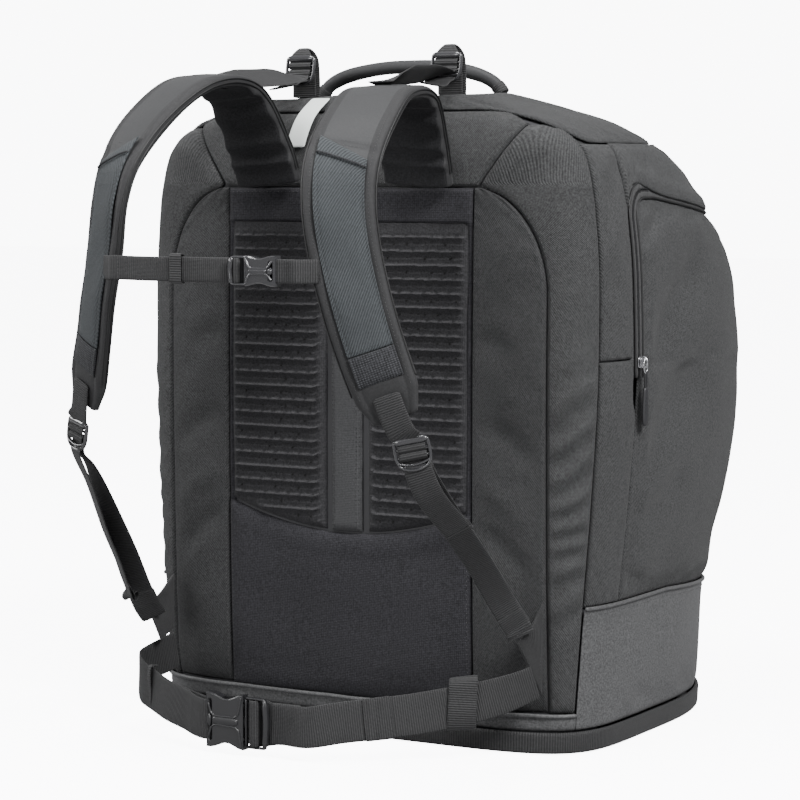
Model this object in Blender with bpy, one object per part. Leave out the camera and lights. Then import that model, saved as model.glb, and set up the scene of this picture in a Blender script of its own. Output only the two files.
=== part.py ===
"""Ski boot backpack: a padded back panel and harness on a tall, bulging soft case.

Frame: origin on the floor under the middle of the bag, +Z up. The harness and back
panel face -Y, the bulging front with its zipped flap faces +Y, and +X is to the
right for someone who looks at the harness. Lengths are in metres, angles in degrees.
"""

import math

import bmesh
import bpy
from mathutils import Matrix, Vector

# ---------------------------------------------------------------- driving dimensions
# Outline of the case, floor to top: height, half width, back, front, widest point.
CASE = (
    (0.000, 0.238, -0.205, 0.205, -0.030),
    (0.130, 0.243, -0.210, 0.218, -0.030),
    (0.230, 0.249, -0.211, 0.262, -0.020),
    (0.340, 0.252, -0.211, 0.298, -0.020),
    (0.430, 0.250, -0.210, 0.280, -0.030),
    (0.500, 0.243, -0.208, 0.212, -0.050),
    (0.545, 0.232, -0.205, 0.130, -0.070),
    (0.575, 0.200, -0.198, 0.045, -0.090),
    (0.600, 0.120, -0.175, -0.040, -0.110),
)
BACK_SQUARENESS = 6.0
FRONT_SQUARENESS = 2.7
CROWN_RISE = 0.004

FABRIC = 0.003
FOAM = 0.011
GAP = 0.0006
SEW_GAP = 0.001

RIM_TOP = 0.021
STRIP_TOP = 0.036
TUB_SIDE_TOP = 0.134
TUB_FRONT_TOP = 0.118
SIDE_SEAM_Z = 0.359
BACK_SEAM_Z = 0.517
YOKE_TOP = 0.588
YOKE_SHARE = 0.9
SHOULDER_SEAM_Z = 0.558
CENTRE_HALF_WIDTH = 0.1325
WING_SEAM_X = 0.205
WING_ARC_START_Z = 0.420
GUSSET_SEAM_Y = -0.176

ZIP_Y = -0.105
ZIP_BOTTOM_Z = 0.346
ZIP_ARCH_Z = 0.486
ZIP_CORNER = 0.0285
ZIP_FRONT_DROP = 0.030
ZIP_MARGIN = 0.008
ZIP_STEP_LOW = 0.304
TAPE_WIDTH = 0.0056
TAPE_OFFSET = 0.0035
TAPE_THICK = 0.0016

PAD_TOP = 0.484
PAD_LOW_MIDDLE = 0.193
PAD_LOW_RISE = 0.026
PAD_INNER_X = 0.022
PAD_OUTER_X = 0.124
SPINE_HALF_WIDTH = 0.015

WEB_SMALL = 0.019
WEB_MEDIUM = 0.025
WEB_WIDE = 0.038
WEB_THICK = 0.0018

STRAP_THICK = 0.012
STRAP_TOP_WIDTH = 0.070
STRAP_END_WIDTH = 0.056
RAIL_WIDTH = 0.040
RAIL_LIFT = 0.0028
# Middle line of the right shoulder strap and how far its face turns outwards.
STRAP_LINE = (
    (0.081, -0.2145, 0.519, 0),
    (0.084, -0.229, 0.556, 0),
    (0.091, -0.262, 0.600, 4),
    (0.099, -0.318, 0.602, 10),
    (0.110, -0.369, 0.576, 18),
    (0.115, -0.404, 0.541, 25),
    (0.119, -0.417, 0.504, 29),
    (0.125, -0.417, 0.461, 30),
    (0.135, -0.414, 0.418, 30),
    (0.146, -0.407, 0.376, 28),
    (0.160, -0.398, 0.330, 22),
)
LOCK_PLACE = (0.1705, -0.393, 0.296)
SWING_Y = -0.205

STERNUM_Z = 0.447
STERNUM_BUCKLE_X = 0.046
STERNUM_Y = -0.446

BELT_PIVOT = (0.0, -0.204, 0.070)
BELT_BUCKLE = (-0.034, -0.332, 0.0305)

HANDLE_Y = -0.089
HANDLE_Z = 0.6125
HANDLE_RADIUS = 0.0062
LIFTER_X = 0.080
LIFTER_Y = -0.153
LIFTER_TOP = 0.646
LIFTER_PIVOT = (LIFTER_X, -0.160, 0.640)

COLOURS = {
    "back_mesh": ((0.030, 0.030, 0.034), 0.95),
    "pad_foam": ((0.026, 0.026, 0.029), 0.85),
    "pack_fabric": ((0.045, 0.046, 0.048), 0.90),
    "tarpaulin": ((0.115, 0.117, 0.120), 0.45),
    "webbing": ((0.048, 0.048, 0.050), 0.85),
    "strap_fabric": ((0.095, 0.097, 0.100), 0.90),
    "buckle_plastic": ((0.030, 0.031, 0.033), 0.32),
    "zip_coil": ((0.020, 0.020, 0.021), 0.50),
    "slider_metal": ((0.300, 0.300, 0.300), 0.30),
    "label": ((0.800, 0.820, 0.820), 0.80),
    "board": ((0.060, 0.060, 0.060), 0.60),
}
METALS = {"slider_metal"}


# ---------------------------------------------------------------- scene and materials
def clear_scene():
    for obj in list(bpy.data.objects):
        bpy.data.objects.remove(obj, do_unlink=True)


def collection(name):
    made = bpy.data.collections.new(name)
    bpy.context.scene.collection.children.link(made)
    return made


def material(name):
    """The shared Principled material of this kind, made on its first use."""
    if name in bpy.data.materials:
        return bpy.data.materials[name]
    colour, roughness = COLOURS[name]
    made = bpy.data.materials.new(name)
    made.use_nodes = True
    shader = made.node_tree.nodes["Principled BSDF"]
    shader.inputs["Base Color"].default_value = (*colour, 1.0)
    shader.inputs["Roughness"].default_value = roughness
    shader.inputs["Metallic"].default_value = 1.0 if name in METALS else 0.0
    return made


def add_object(name, mesh, kind, origin=(0, 0, 0)):
    """Links a mesh drawn in world coordinates, with its origin moved to `origin`."""
    mesh.transform(Matrix.Translation(-Vector(origin)))
    mesh.materials.clear()
    mesh.materials.append(material(kind))
    mesh.shade_smooth()
    mesh.set_sharp_from_angle(angle=math.radians(35))
    made = bpy.data.objects.new(name, mesh)
    made.location = origin
    PARTS.objects.link(made)
    return made


def closed_mesh(name, build):
    """A mesh made by `build(bm)`, with every face turned to look out."""
    bm = bmesh.new()
    build(bm)
    bmesh.ops.recalc_face_normals(bm, faces=bm.faces)
    mesh = bpy.data.meshes.new(name)
    bm.to_mesh(mesh)
    bm.free()
    return mesh


# ---------------------------------------------------------------- the case's surface
def section(z):
    """Half width, back, front and widest point at height z, smoothed through CASE."""
    z = min(max(z, CASE[0][0]), CASE[-1][0])
    rows = len(CASE)
    k = next(i for i in range(rows - 1) if z <= CASE[i + 1][0])
    span = CASE[k + 1][0] - CASE[k][0]
    t = (z - CASE[k][0]) / span
    values = []
    for column in range(1, 5):
        slopes = [
            (CASE[i + 1][column] - CASE[i][column]) / (CASE[i + 1][0] - CASE[i][0])
            for i in range(rows - 1)
        ]
        start = knot_slope(slopes, k)
        end = knot_slope(slopes, k + 1)
        values.append(
            (1 + 2 * t) * (1 - t) ** 2 * CASE[k][column]
            + t * (1 - t) ** 2 * span * start
            + t * t * (3 - 2 * t) * CASE[k + 1][column]
            + t * t * (t - 1) * span * end
        )
    return values


def knot_slope(slopes, knot):
    """Slope at a knot that never overshoots: zero where the outline turns back."""
    if knot == 0:
        return slopes[0]
    if knot == len(slopes):
        return slopes[-1]
    before, after = slopes[knot - 1], slopes[knot]
    return 2 * before * after / (before + after) if before * after > 0 else 0.0


def on_case(angle, z):
    """Point of the case at a heading (-90 back, 0 right side, 90 front) and height."""
    half_width, back, front, middle = section(z)
    across, along = math.cos(math.radians(angle)), math.sin(math.radians(angle))
    power = FRONT_SQUARENESS if along > 0 else BACK_SQUARENESS
    depth = front - middle if along > 0 else middle - back
    reach = (abs(across) ** power + abs(along) ** power) ** (-1 / power)
    return Vector((half_width * reach * across, middle + depth * reach * along, z))


def normal_at(angle, z):
    round_step = on_case(angle + 0.25, z) - on_case(angle - 0.25, z)
    up_step = on_case(angle, z + 0.001) - on_case(angle, z - 0.001)
    return round_step.cross(up_step).normalized()


def skin(angle, z, lift=0.0):
    """The same point, lifted along the surface's own normal."""
    return on_case(angle, z) + normal_at(angle, min(z, 0.598)) * lift


def heading_of_x(z, x):
    """Heading where the back panel reaches x at height z."""
    half_width = section(z)[0]
    share = min(abs(x) / half_width, 0.9999)
    angle = math.degrees(math.atan2(-((1 - share**BACK_SQUARENESS) ** (1 / BACK_SQUARENESS)), share))
    return angle if x >= 0 else -180 - angle


def heading_of_y(z, y):
    """Heading where the right side reaches y at height z."""
    _, back, front, middle = section(z)
    ahead = y > middle
    power = FRONT_SQUARENESS if ahead else BACK_SQUARENESS
    share = (y - middle) / (front - middle if ahead else middle - back)
    share = max(min(share, 0.9999), -0.9999)
    return math.degrees(math.atan2(share, (1 - abs(share) ** power) ** (1 / power)))


def mix(a, b, t):
    return a + (b - a) * t


def ease(t):
    t = min(max(t, 0.0), 1.0)
    return t * t * (3 - 2 * t)


# ---------------------------------------------------------------- panels
def sheet(name, kind, place, lift, thick, across, up, side=1, loop=False, origin=(0, 0, 0)):
    """A panel between two lifts of the case. place(s, t) gives heading and height."""
    outer, inner = [], []
    for i in range(across if loop else across + 1):
        places = [place(i / across, j / up) for j in range(up + 1)]
        outer.append([skin(a, z, lift) for a, z in places])
        inner.append([skin(a, z, lift - thick) for a, z in places])
    mirror = Matrix.Diagonal((side, 1, 1))
    return add_object(name, shell(name, outer, inner, loop, mirror), kind, origin)


def shell(name, outer, inner, loop, mirror):
    """Closed loft between two grids of points, wrapped round if it is a loop."""

    def build(bm):
        far = [[bm.verts.new(mirror @ p) for p in column] for column in outer]
        near = [[bm.verts.new(mirror @ p) for p in column] for column in inner]
        columns = len(far)
        top = len(far[0]) - 1
        for i in range(columns if loop else columns - 1):
            k = (i + 1) % columns
            for j in range(top):
                bm.faces.new((far[i][j], far[k][j], far[k][j + 1], far[i][j + 1]))
                bm.faces.new((near[i][j + 1], near[k][j + 1], near[k][j], near[i][j]))
            bm.faces.new((far[i][top], far[k][top], near[k][top], near[i][top]))
            bm.faces.new((near[i][0], near[k][0], far[k][0], far[i][0]))
        if loop:
            return
        for j in range(top):
            bm.faces.new((far[0][j + 1], near[0][j + 1], near[0][j], far[0][j]))
            bm.faces.new((far[-1][j], near[-1][j], near[-1][j + 1], far[-1][j + 1]))

    return closed_mesh(name, build)


def wing_x(z):
    """The wing seam: straight, then a quarter ellipse in to the yoke."""
    rise = min(max((z - WING_ARC_START_Z) / (BACK_SEAM_Z - WING_ARC_START_Z), 0), 1)
    return CENTRE_HALF_WIDTH + (WING_SEAM_X - CENTRE_HALF_WIDTH) * math.sqrt(1 - rise * rise)


def yoke_x(z):
    """The yoke's side edge: a slanted seam that stays clear of the case's shoulder."""
    return min(CENTRE_HALF_WIDTH + 0.004 + 0.72 * (z - BACK_SEAM_Z), YOKE_SHARE * section(z)[0])


def gusset_y(z):
    return GUSSET_SEAM_Y + 0.012 * ease(z / 0.5)


def front_seam_y(z):
    return -0.124 + 0.095 * (min(z, ZIP_BOTTOM_Z) - TUB_SIDE_TOP)


def side_front_y(z):
    """Front edge of the side panels, which steps back for the zip."""
    return mix(front_seam_y(z), ZIP_Y - ZIP_MARGIN, ease((z - ZIP_STEP_LOW) / 0.018)) - GAP


def tub_top(heading):
    return mix(TUB_SIDE_TOP, TUB_FRONT_TOP, math.sin(math.radians(max(heading, 0))))


def seam_height(heading):
    """Lower edge of the top panel, higher across the yoke than round the sides."""
    return mix(YOKE_TOP, SHOULDER_SEAM_Z, ease((heading + 48) / 20))


def under_seam(heading, z):
    """A place on the case, kept below the top panel's edge."""
    return heading, min(z, seam_height(right_heading(heading)) - 2 * SEW_GAP)


def side_heights():
    """Rows shared by a wing and its gusset, closer together round the wing's arc."""
    straight = steps_between(STRIP_TOP + SEW_GAP, WING_ARC_START_Z, 8)
    arc = [math.sin(math.radians(turn)) for turn in (15, 30, 45, 60, 72, 82)]
    return straight + [mix(WING_ARC_START_Z, BACK_SEAM_Z - 2 * SEW_GAP, rise) for rise in arc]


def pad_low(x):
    return PAD_LOW_MIDDLE + PAD_LOW_RISE * (x / CENTRE_HALF_WIDTH) ** 2


def back_panels():
    def centre(s, t):
        z = mix(STRIP_TOP + SEW_GAP, BACK_SEAM_Z - SEW_GAP, t)
        return heading_of_x(z, mix(-CENTRE_HALF_WIDTH, CENTRE_HALF_WIDTH, s)), z

    def pad(s, t):
        x = mix(PAD_INNER_X, PAD_OUTER_X, s)
        z = mix(pad_low(x), PAD_TOP, t)
        return heading_of_x(z, x), z

    def spine(s, t):
        z = mix(PAD_LOW_MIDDLE + SEW_GAP, PAD_TOP, t)
        return heading_of_x(z, mix(-SPINE_HALF_WIDTH, SPINE_HALF_WIDTH, s)), z

    def lumbar(s, t):
        x = mix(-CENTRE_HALF_WIDTH, CENTRE_HALF_WIDTH, s)
        z = mix(STRIP_TOP + SEW_GAP, pad_low(x) - SEW_GAP, t)
        return heading_of_x(z, x), z

    def sheet_place(s, t):
        z = mix(0.050, 0.545, t)
        return heading_of_x(z, mix(-0.118, 0.118, s)), z

    def yoke(s, t):
        share = 2 * s - 1
        shoulder = heading_of_x(YOKE_TOP, share * (yoke_x(YOKE_TOP) - SEW_GAP))
        z = mix(BACK_SEAM_Z, seam_height(right_heading(shoulder)) - 2 * SEW_GAP, t)
        return heading_of_x(z, share * (yoke_x(z) - SEW_GAP)), z

    sheet("back_panel", "back_mesh", centre, -FOAM, 0.002, 6, 8)
    sheet("spine_strip", "pack_fabric", spine, -0.004, 0.006, 2, 8)
    sheet("lumbar_pad", "back_mesh", lumbar, -GAP, FOAM - 2 * GAP, 8, 5)
    sheet("frame_sheet", "board", sheet_place, -FOAM - 0.0025, 0.0015, 6, 8)
    sheet("shoulder_yoke", "strap_fabric", yoke, 0, FABRIC, 12, 5)
    for name, side in SIDES:
        sheet(f"back_pad_{name}", "pad_foam", pad, 0, FOAM - 2 * GAP, 4, 10, side)


def side_panels():
    heights = side_heights()
    tall = heights + steps_between(BACK_SEAM_Z, SHOULDER_SEAM_Z + 0.012, 4)
    low_rows = (TUB_SIDE_TOP + SEW_GAP, 0.190, 0.250, ZIP_STEP_LOW, ZIP_STEP_LOW + 0.018, SIDE_SEAM_Z - GAP)

    def wing(s, t):
        z = heights[round(t * (len(heights) - 1))]
        edge = max(wing_x(z) - SEW_GAP, CENTRE_HALF_WIDTH + 3 * SEW_GAP)
        return heading_of_x(z, mix(CENTRE_HALF_WIDTH + SEW_GAP, edge, s)), z

    def gusset(s, t):
        z = tall[round(t * (len(tall) - 1))]
        inner = max(wing_x(z), CENTRE_HALF_WIDTH + 5 * SEW_GAP) if z < BACK_SEAM_Z else yoke_x(z)
        start = heading_of_x(z, inner + SEW_GAP)
        return under_seam(mix(start, heading_of_y(z, gusset_y(z) - SEW_GAP), s), z)

    def side(s, z):
        return mix(heading_of_y(z, gusset_y(z) + SEW_GAP), heading_of_y(z, side_front_y(z)), s), z

    def lower(s, t):
        return side(s, low_rows[round(t * (len(low_rows) - 1))])

    def upper(s, t):
        return side(s, mix(SIDE_SEAM_Z + GAP, SHOULDER_SEAM_Z - GAP, t))

    for name, hand in SIDES:
        sheet(f"back_wing_{name}", "pack_fabric", wing, 0, FOAM, 4, len(heights) - 1, hand)
        sheet(f"corner_gusset_{name}", "pack_fabric", gusset, 0, FABRIC, 5, len(tall) - 1, hand)
        sheet(f"side_panel_lower_{name}", "pack_fabric", lower, 0, FABRIC, 3, len(low_rows) - 1, hand)
        sheet(f"side_panel_upper_{name}", "pack_fabric", upper, 0, FABRIC, 3, 7, hand)


def zip_run_z(heading):
    """Height of the zip's top run, which sags a little towards the front."""
    return ZIP_ARCH_Z + ZIP_CORNER - ZIP_FRONT_DROP * max(math.sin(math.radians(heading)), 0)


def arch_edge(heading, margin):
    """Height of the zip arch over a heading, for an edge `margin` outside the zip."""
    y = on_case(heading, ZIP_ARCH_Z).y
    centre_y = ZIP_Y + ZIP_CORNER
    radius = ZIP_CORNER + margin
    if y >= centre_y:
        return zip_run_z(heading) + margin
    return ZIP_ARCH_Z + math.sqrt(max(radius**2 - (centre_y - y) ** 2, 0.0))


def spread(s):
    """Columns that crowd towards both zip corners: s from 0 to 1 over the front."""
    half = 1 - abs(2 * s - 1)
    return (half**1.8) / 2 if s <= 0.5 else 1 - (half**1.8) / 2


def front_heading(s, z, first_y):
    start = heading_of_y(z, first_y)
    return mix(start, 180 - start, spread(s))


def right_heading(heading):
    """The same heading mirrored onto the right side, from -90 (back) to 90 (front)."""
    turned = (heading + 90) % 360 - 90
    return 180 - turned if turned > 90 else turned


def front_panels():
    def flap(s, t):
        rest = front_heading(s, ZIP_ARCH_Z, ZIP_Y + ZIP_MARGIN)
        top = arch_edge(right_heading(rest), -ZIP_MARGIN)
        z = mix(ZIP_BOTTOM_Z, top, t)
        return front_heading(s, z, ZIP_Y + ZIP_MARGIN), z

    def band(s, t):
        rest = front_heading(s, ZIP_ARCH_Z, ZIP_Y - ZIP_MARGIN + GAP)
        low = arch_edge(right_heading(rest), ZIP_MARGIN)
        z = mix(low, SHOULDER_SEAM_Z - GAP, t)
        return front_heading(s, z, ZIP_Y - ZIP_MARGIN + GAP), z

    def lower(s, t):
        share = spread(s)
        low = tub_top(right_heading(mix(-30, 210, share))) + SEW_GAP
        z = mix(low, ZIP_BOTTOM_Z - SEW_GAP, t)
        return front_heading(s, z, front_seam_y(z) + GAP), z

    def tub(s, t):
        heading = mix(-90, 270, s)
        return heading, mix(RIM_TOP + SEW_GAP, STRIP_TOP, t)

    sheet("front_flap", "pack_fabric", flap, 0, FABRIC, 26, 7, origin=FLAP_AXIS)
    sheet("front_band", "pack_fabric", band, 0, FABRIC, 26, 2)
    sheet("front_lower_panel", "pack_fabric", lower, 0, FABRIC, 24, 6)


def boot_tub():
    """One wrapped piece: tall round the sides and front, a low strip across the back."""
    columns = [("back", k / 6) for k in range(7)] + [("front", k / 24) for k in range(25)]

    def place(s, t):
        kind, share = columns[round(s * len(columns)) % len(columns)]
        edge = 0.0003 if kind == "front" else -0.0003
        low = RIM_TOP + SEW_GAP
        top = STRIP_TOP
        start = heading_of_y(low, gusset_y(low) + edge)
        heading = mix(-180 - start, start, share)
        if kind == "front":
            heading = mix(start, 180 - start, share)
            top = tub_top(right_heading(heading))
        z = mix(low, top, t)
        drift = heading_of_y(z, gusset_y(z) + edge) - start
        drift *= math.cos(math.pi * share) * (1 if kind == "front" else -1)
        return heading + drift, z

    sheet("boot_tub", "tarpaulin", place, 0, FABRIC, len(columns), 3, loop=True)


def top_panel():
    """A dome from the shoulder seam over the crown."""
    columns, rows = 40, 5
    crown = Vector((0, CASE[-1][4], CASE[-1][0] + CROWN_RISE))

    def rings(lift):
        for j in range(rows + 1):
            yield [
                skin(a, mix(seam_height(right_heading(a)) + GAP, CASE[-1][0], j / rows), lift)
                for a in headings
            ]
        rim = [skin(a, CASE[-1][0], lift) for a in headings]
        for share in (0.66, 0.33):
            yield [crown.lerp(p, share) + Vector((0, 0, lift * (1 - share))) for p in rim]

    headings = [-90 + 360 * i / columns for i in range(columns)]

    def build(bm):
        surfaces = []
        for lift in (0.0, -FABRIC):
            loops = [[bm.verts.new(p) for p in ring] for ring in rings(lift)]
            tip = bm.verts.new(crown + Vector((0, 0, lift)))
            for low, high in zip(loops, loops[1:]):
                for i in range(columns):
                    k = (i + 1) % columns
                    bm.faces.new((low[i], low[k], high[k], high[i]))
            for i in range(columns):
                bm.faces.new((loops[-1][i], loops[-1][(i + 1) % columns], tip))
            surfaces.append(loops[0])
        for i in range(columns):
            k = (i + 1) % columns
            bm.faces.new((surfaces[0][i], surfaces[0][k], surfaces[1][k], surfaces[1][i]))

    add_object("top_panel", closed_mesh("top_panel", build), "pack_fabric")


def slab(name, kind, low, high, inset, segments):
    """A flat board with the case's own outline, between two heights."""

    def build(bm):
        rings = []
        for z in (low, high):
            rings.append(
                [
                    bm.verts.new(Vector((*skin(-90 + 360 * i / segments, 0.01, -inset).xy, z)))
                    for i in range(segments)
                ]
            )
        bm.faces.new(rings[0])
        bm.faces.new(rings[1])
        for i in range(segments):
            k = (i + 1) % segments
            bm.faces.new((rings[0][i], rings[0][k], rings[1][k], rings[1][i]))

    add_object(name, closed_mesh(name, build), kind)


def base():
    def rim(s, t):
        return mix(-90, 270, s), mix(0.0006, RIM_TOP, t)

    sheet("base_rim", "webbing", rim, 0.004, 0.004, 48, 1, loop=True)
    slab("base_panel", "tarpaulin", 0.0, 0.004, 0.0025, 48)
    slab("base_board", "board", 0.0045, 0.0085, 0.016, 40)


# ---------------------------------------------------------------- ribbons and webbing
def curve_through(points, steps):
    """Points along a smooth curve through the given ones, `steps` to each span."""
    points = [Vector(p) for p in points]
    if len(points) == 2:
        return [points[0].lerp(points[1], k / steps) for k in range(steps + 1)]
    ends = [2 * points[0] - points[1], *points, 2 * points[-1] - points[-2]]
    made = []
    for i in range(1, len(ends) - 2):
        for k in range(steps):
            t = k / steps
            before, start, end, after = ends[i - 1 : i + 3]
            made.append(
                0.5
                * (
                    2 * start
                    + (end - before) * t
                    + (2 * before - 5 * start + 4 * end - after) * t**2
                    + (3 * start - before - 3 * end + after) * t**3
                )
            )
    return [*made, points[-1]]


def flat_section():
    return [(-0.5, -0.5), (0.5, -0.5), (0.5, 0.5), (-0.5, 0.5)]


def padded_section():
    """A cushion-edged cross section, as shares of width and thickness."""
    return [(-0.5, 0), (-0.46, -0.36), (-0.25, -0.5), (0.25, -0.5), (0.46, -0.36),
            (0.5, 0), (0.46, 0.36), (0.25, 0.5), (-0.25, 0.5), (-0.46, 0.36)]  # fmt: skip


def ribbon(name, kind, line, sides, widths, thick, outline, mirror=1, origin=(0, 0, 0), loop=False):
    """Loft of a cross section along a line. sides give the width's direction."""
    count = len(line)

    def ring(bm, i):
        after = line[(i + 1) % count] if loop else line[min(i + 1, count - 1)]
        before = line[i - 1] if loop else line[max(i - 1, 0)]
        along = (after - before).normalized()
        across = (sides[i] - along * sides[i].dot(along)).normalized()
        out = along.cross(across)
        points = [line[i] + across * (u * widths[i]) + out * (v * thick) for u, v in outline]
        return [bm.verts.new((mirror * p.x, p.y, p.z)) for p in points]

    def build(bm):
        rings = [ring(bm, i) for i in range(count)]
        size = len(outline)
        for i in range(count if loop else count - 1):
            low, high = rings[i], rings[(i + 1) % count]
            for k in range(size):
                m = (k + 1) % size
                bm.faces.new((low[k], low[m], high[m], high[k]))
        if not loop:
            bm.faces.new(rings[0])
            bm.faces.new(rings[-1])

    return add_object(name, closed_mesh(name, build), kind, origin)


def web(name, points, side_points, width, steps=3, mirror=1, origin=(0, 0, 0), kind="webbing"):
    """Flat webbing through a few points, its width turning between the given sides."""
    line = curve_through(points, steps)
    last = len(line) - 1
    sides = []
    for i in range(len(line)):
        place = i / last * (len(side_points) - 1)
        k = min(int(place), len(side_points) - 2)
        sides.append(Vector(side_points[k]).lerp(Vector(side_points[k + 1]), place - k).normalized())
    return ribbon(name, kind, line, sides, [width] * len(line), WEB_THICK, flat_section(), mirror, origin)


# ---------------------------------------------------------------- zip
def zip_path():
    """Heading and height along the zip, from its right end over the front to its left."""
    right = [(heading_of_y(z, ZIP_Y), z) for z in steps_between(ZIP_BOTTOM_Z, ZIP_ARCH_Z, 7)]
    for turn in (22.5, 45, 67.5, 90):
        y = ZIP_Y + ZIP_CORNER * (1 - math.cos(math.radians(turn)))
        z = ZIP_ARCH_Z + ZIP_CORNER * math.sin(math.radians(turn))
        right.append((heading_of_y(z, y), z))
    last = right[-1][0]
    right += [(a, zip_run_z(a)) for a in steps_between(last, 90, 14)[1:]]
    return right + [(180 - a, z) for a, z in reversed(right[:-1])]


def steps_between(a, b, count):
    return [mix(a, b, k / count) for k in range(count + 1)]


def zip_tape(name, offset, bottom, origin=(0, 0, 0)):
    """One tape of the zip, `offset` to the outer side of the coil's line."""
    path = zip_path()
    if bottom < ZIP_BOTTOM_Z:
        ends = [(heading_of_y(z, ZIP_Y), z) for z in (bottom, mix(bottom, ZIP_BOTTOM_Z, 0.5))]
        path = ends + path + [(180 - a, z) for a, z in reversed(ends)]
    middle = [skin(a, z) for a, z in path]
    line, sides = [], []
    for i, (heading, z) in enumerate(path):
        along = (middle[min(i + 1, len(middle) - 1)] - middle[max(i - 1, 0)]).normalized()
        outward = along.cross(normal_at(heading, z)).normalized() * -1
        line.append(middle[i] + outward * offset - normal_at(heading, z) * 0.0012)
        sides.append(outward)
    widths = [TAPE_WIDTH] * len(line)
    ribbon(name, "zip_coil", line, sides, widths, TAPE_THICK, flat_section(), origin=origin)


# ---------------------------------------------------------------- flat moulded plates
def rounded_box(width, height, radius, centre=(0, 0), corners=3):
    """Corner-rounded rectangle as a list of points."""
    points = []
    for k in range(4):
        cx = centre[0] + (width / 2 - radius) * (1 if k in (0, 3) else -1)
        cy = centre[1] + (height / 2 - radius) * (1 if k in (0, 1) else -1)
        for j in range(corners + 1):
            turn = math.radians(90 * k + 90 * j / corners)
            points.append((cx + radius * math.cos(turn), cy + radius * math.sin(turn)))
    return points


def plate_mesh(name, outlines, thick, bevel):
    """Flat plate with holes: the first outline is the edge, the rest are its holes."""
    curve = bpy.data.curves.new(name, "CURVE")
    curve.dimensions = "2D"
    curve.fill_mode = "BOTH"
    curve.extrude = thick / 2 - bevel
    curve.bevel_depth = bevel
    curve.bevel_resolution = 0
    curve.offset = -bevel
    for outline in outlines:
        spline = curve.splines.new("POLY")
        spline.points.add(len(outline) - 1)
        for point, (x, y) in zip(spline.points, outline):
            point.co = (x, y, 0, 1)
        spline.use_cyclic_u = True
    helper = bpy.data.objects.new(name + "_outline", curve)
    bpy.context.scene.collection.objects.link(helper)
    graph = bpy.context.evaluated_depsgraph_get()
    mesh = bpy.data.meshes.new_from_object(helper.evaluated_get(graph))
    bpy.data.objects.remove(helper, do_unlink=True)
    bm = bmesh.new()
    bm.from_mesh(mesh)
    bmesh.ops.remove_doubles(bm, verts=bm.verts, dist=1e-6)
    bmesh.ops.recalc_face_normals(bm, faces=bm.faces)
    bm.to_mesh(mesh)
    bm.free()
    return mesh


def place_mesh(mesh, centre, x_axis, y_axis):
    """Puts a mesh drawn flat at the origin where its own x and y axes should point."""
    x_axis = Vector(x_axis).normalized()
    y_axis = (Vector(y_axis) - x_axis * x_axis.dot(Vector(y_axis))).normalized()
    turn = Matrix((x_axis, y_axis, x_axis.cross(y_axis))).transposed().to_4x4()
    mesh.transform(Matrix.Translation(Vector(centre)) @ turn)
    return mesh


def mirrored(mesh, side):
    if side < 0:
        mesh.transform(Matrix.Diagonal((-1, 1, 1, 1)))
        mesh.flip_normals()
    return mesh


def cut_box(mesh, size, centre):
    """Cuts a box out of a mesh drawn at the origin."""
    body = bpy.data.objects.new("cut_body", mesh)
    bm = bmesh.new()
    bmesh.ops.create_cube(bm, size=1.0)
    bmesh.ops.scale(bm, vec=size, verts=bm.verts)
    bmesh.ops.translate(bm, vec=centre, verts=bm.verts)
    cutter_mesh = bpy.data.meshes.new("cutter")
    bm.to_mesh(cutter_mesh)
    bm.free()
    cutter = bpy.data.objects.new("cutter", cutter_mesh)
    for obj in (body, cutter):
        bpy.context.scene.collection.objects.link(obj)
    cut = body.modifiers.new("cut", "BOOLEAN")
    cut.operation = "DIFFERENCE"
    cut.object = cutter
    graph = bpy.context.evaluated_depsgraph_get()
    made = bpy.data.meshes.new_from_object(body.evaluated_get(graph))
    for obj in (body, cutter):
        bpy.data.objects.remove(obj, do_unlink=True)
    return made


def ladder_lock_mesh(width):
    """A ladder lock for this webbing: a sewn slot and two adjusting slots."""
    frame = rounded_box(width + 0.008, 0.030, 0.004)
    slots = [rounded_box(width + 0.002, 0.005, 0.0012, (0, y), 1) for y in (0.0095, 0.001, -0.0075)]
    return plate_mesh("ladder_lock", [frame, *slots], 0.0045, 0.0007)


# ---------------------------------------------------------------- side-release buckles
def waist(share, half_width):
    """Half width of the socket along its length: full at the mouth, drawn in between."""
    return half_width * (1 - 0.20 * math.sin(math.pi * min(share / 0.9, 1)) ** 2)


def buckle_socket_mesh(web_width):
    """Female part, its mouth at x = 0 and its webbing bar at the far end."""
    half = web_width / 2 + 0.0065
    length = web_width * 0.5 + 0.021
    thick = 0.011
    shares = steps_between(0, 1, 8)
    upper = [(share * length, waist(share, half)) for share in shares]
    outline = [(x, -y) for x, y in upper] + upper[::-1]
    slot = rounded_box(0.003, web_width, 0.001, (length - 0.0045, 0), 1)
    mesh = plate_mesh("socket", [outline, slot], thick, 0.0012)
    cavity = length - 0.010
    inside = 0.80 * half - 0.0018
    mesh = cut_box(mesh, (cavity * 2, inside * 2, thick - 0.0044), (0, 0, 0))
    window = half - inside + 0.006
    for side in (-1, 1):
        place = (length * 0.46, side * (inside + window / 2 - 0.001), 0)
        mesh = cut_box(mesh, (length * 0.26, window, thick - 0.0045), place)
    return mesh


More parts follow.
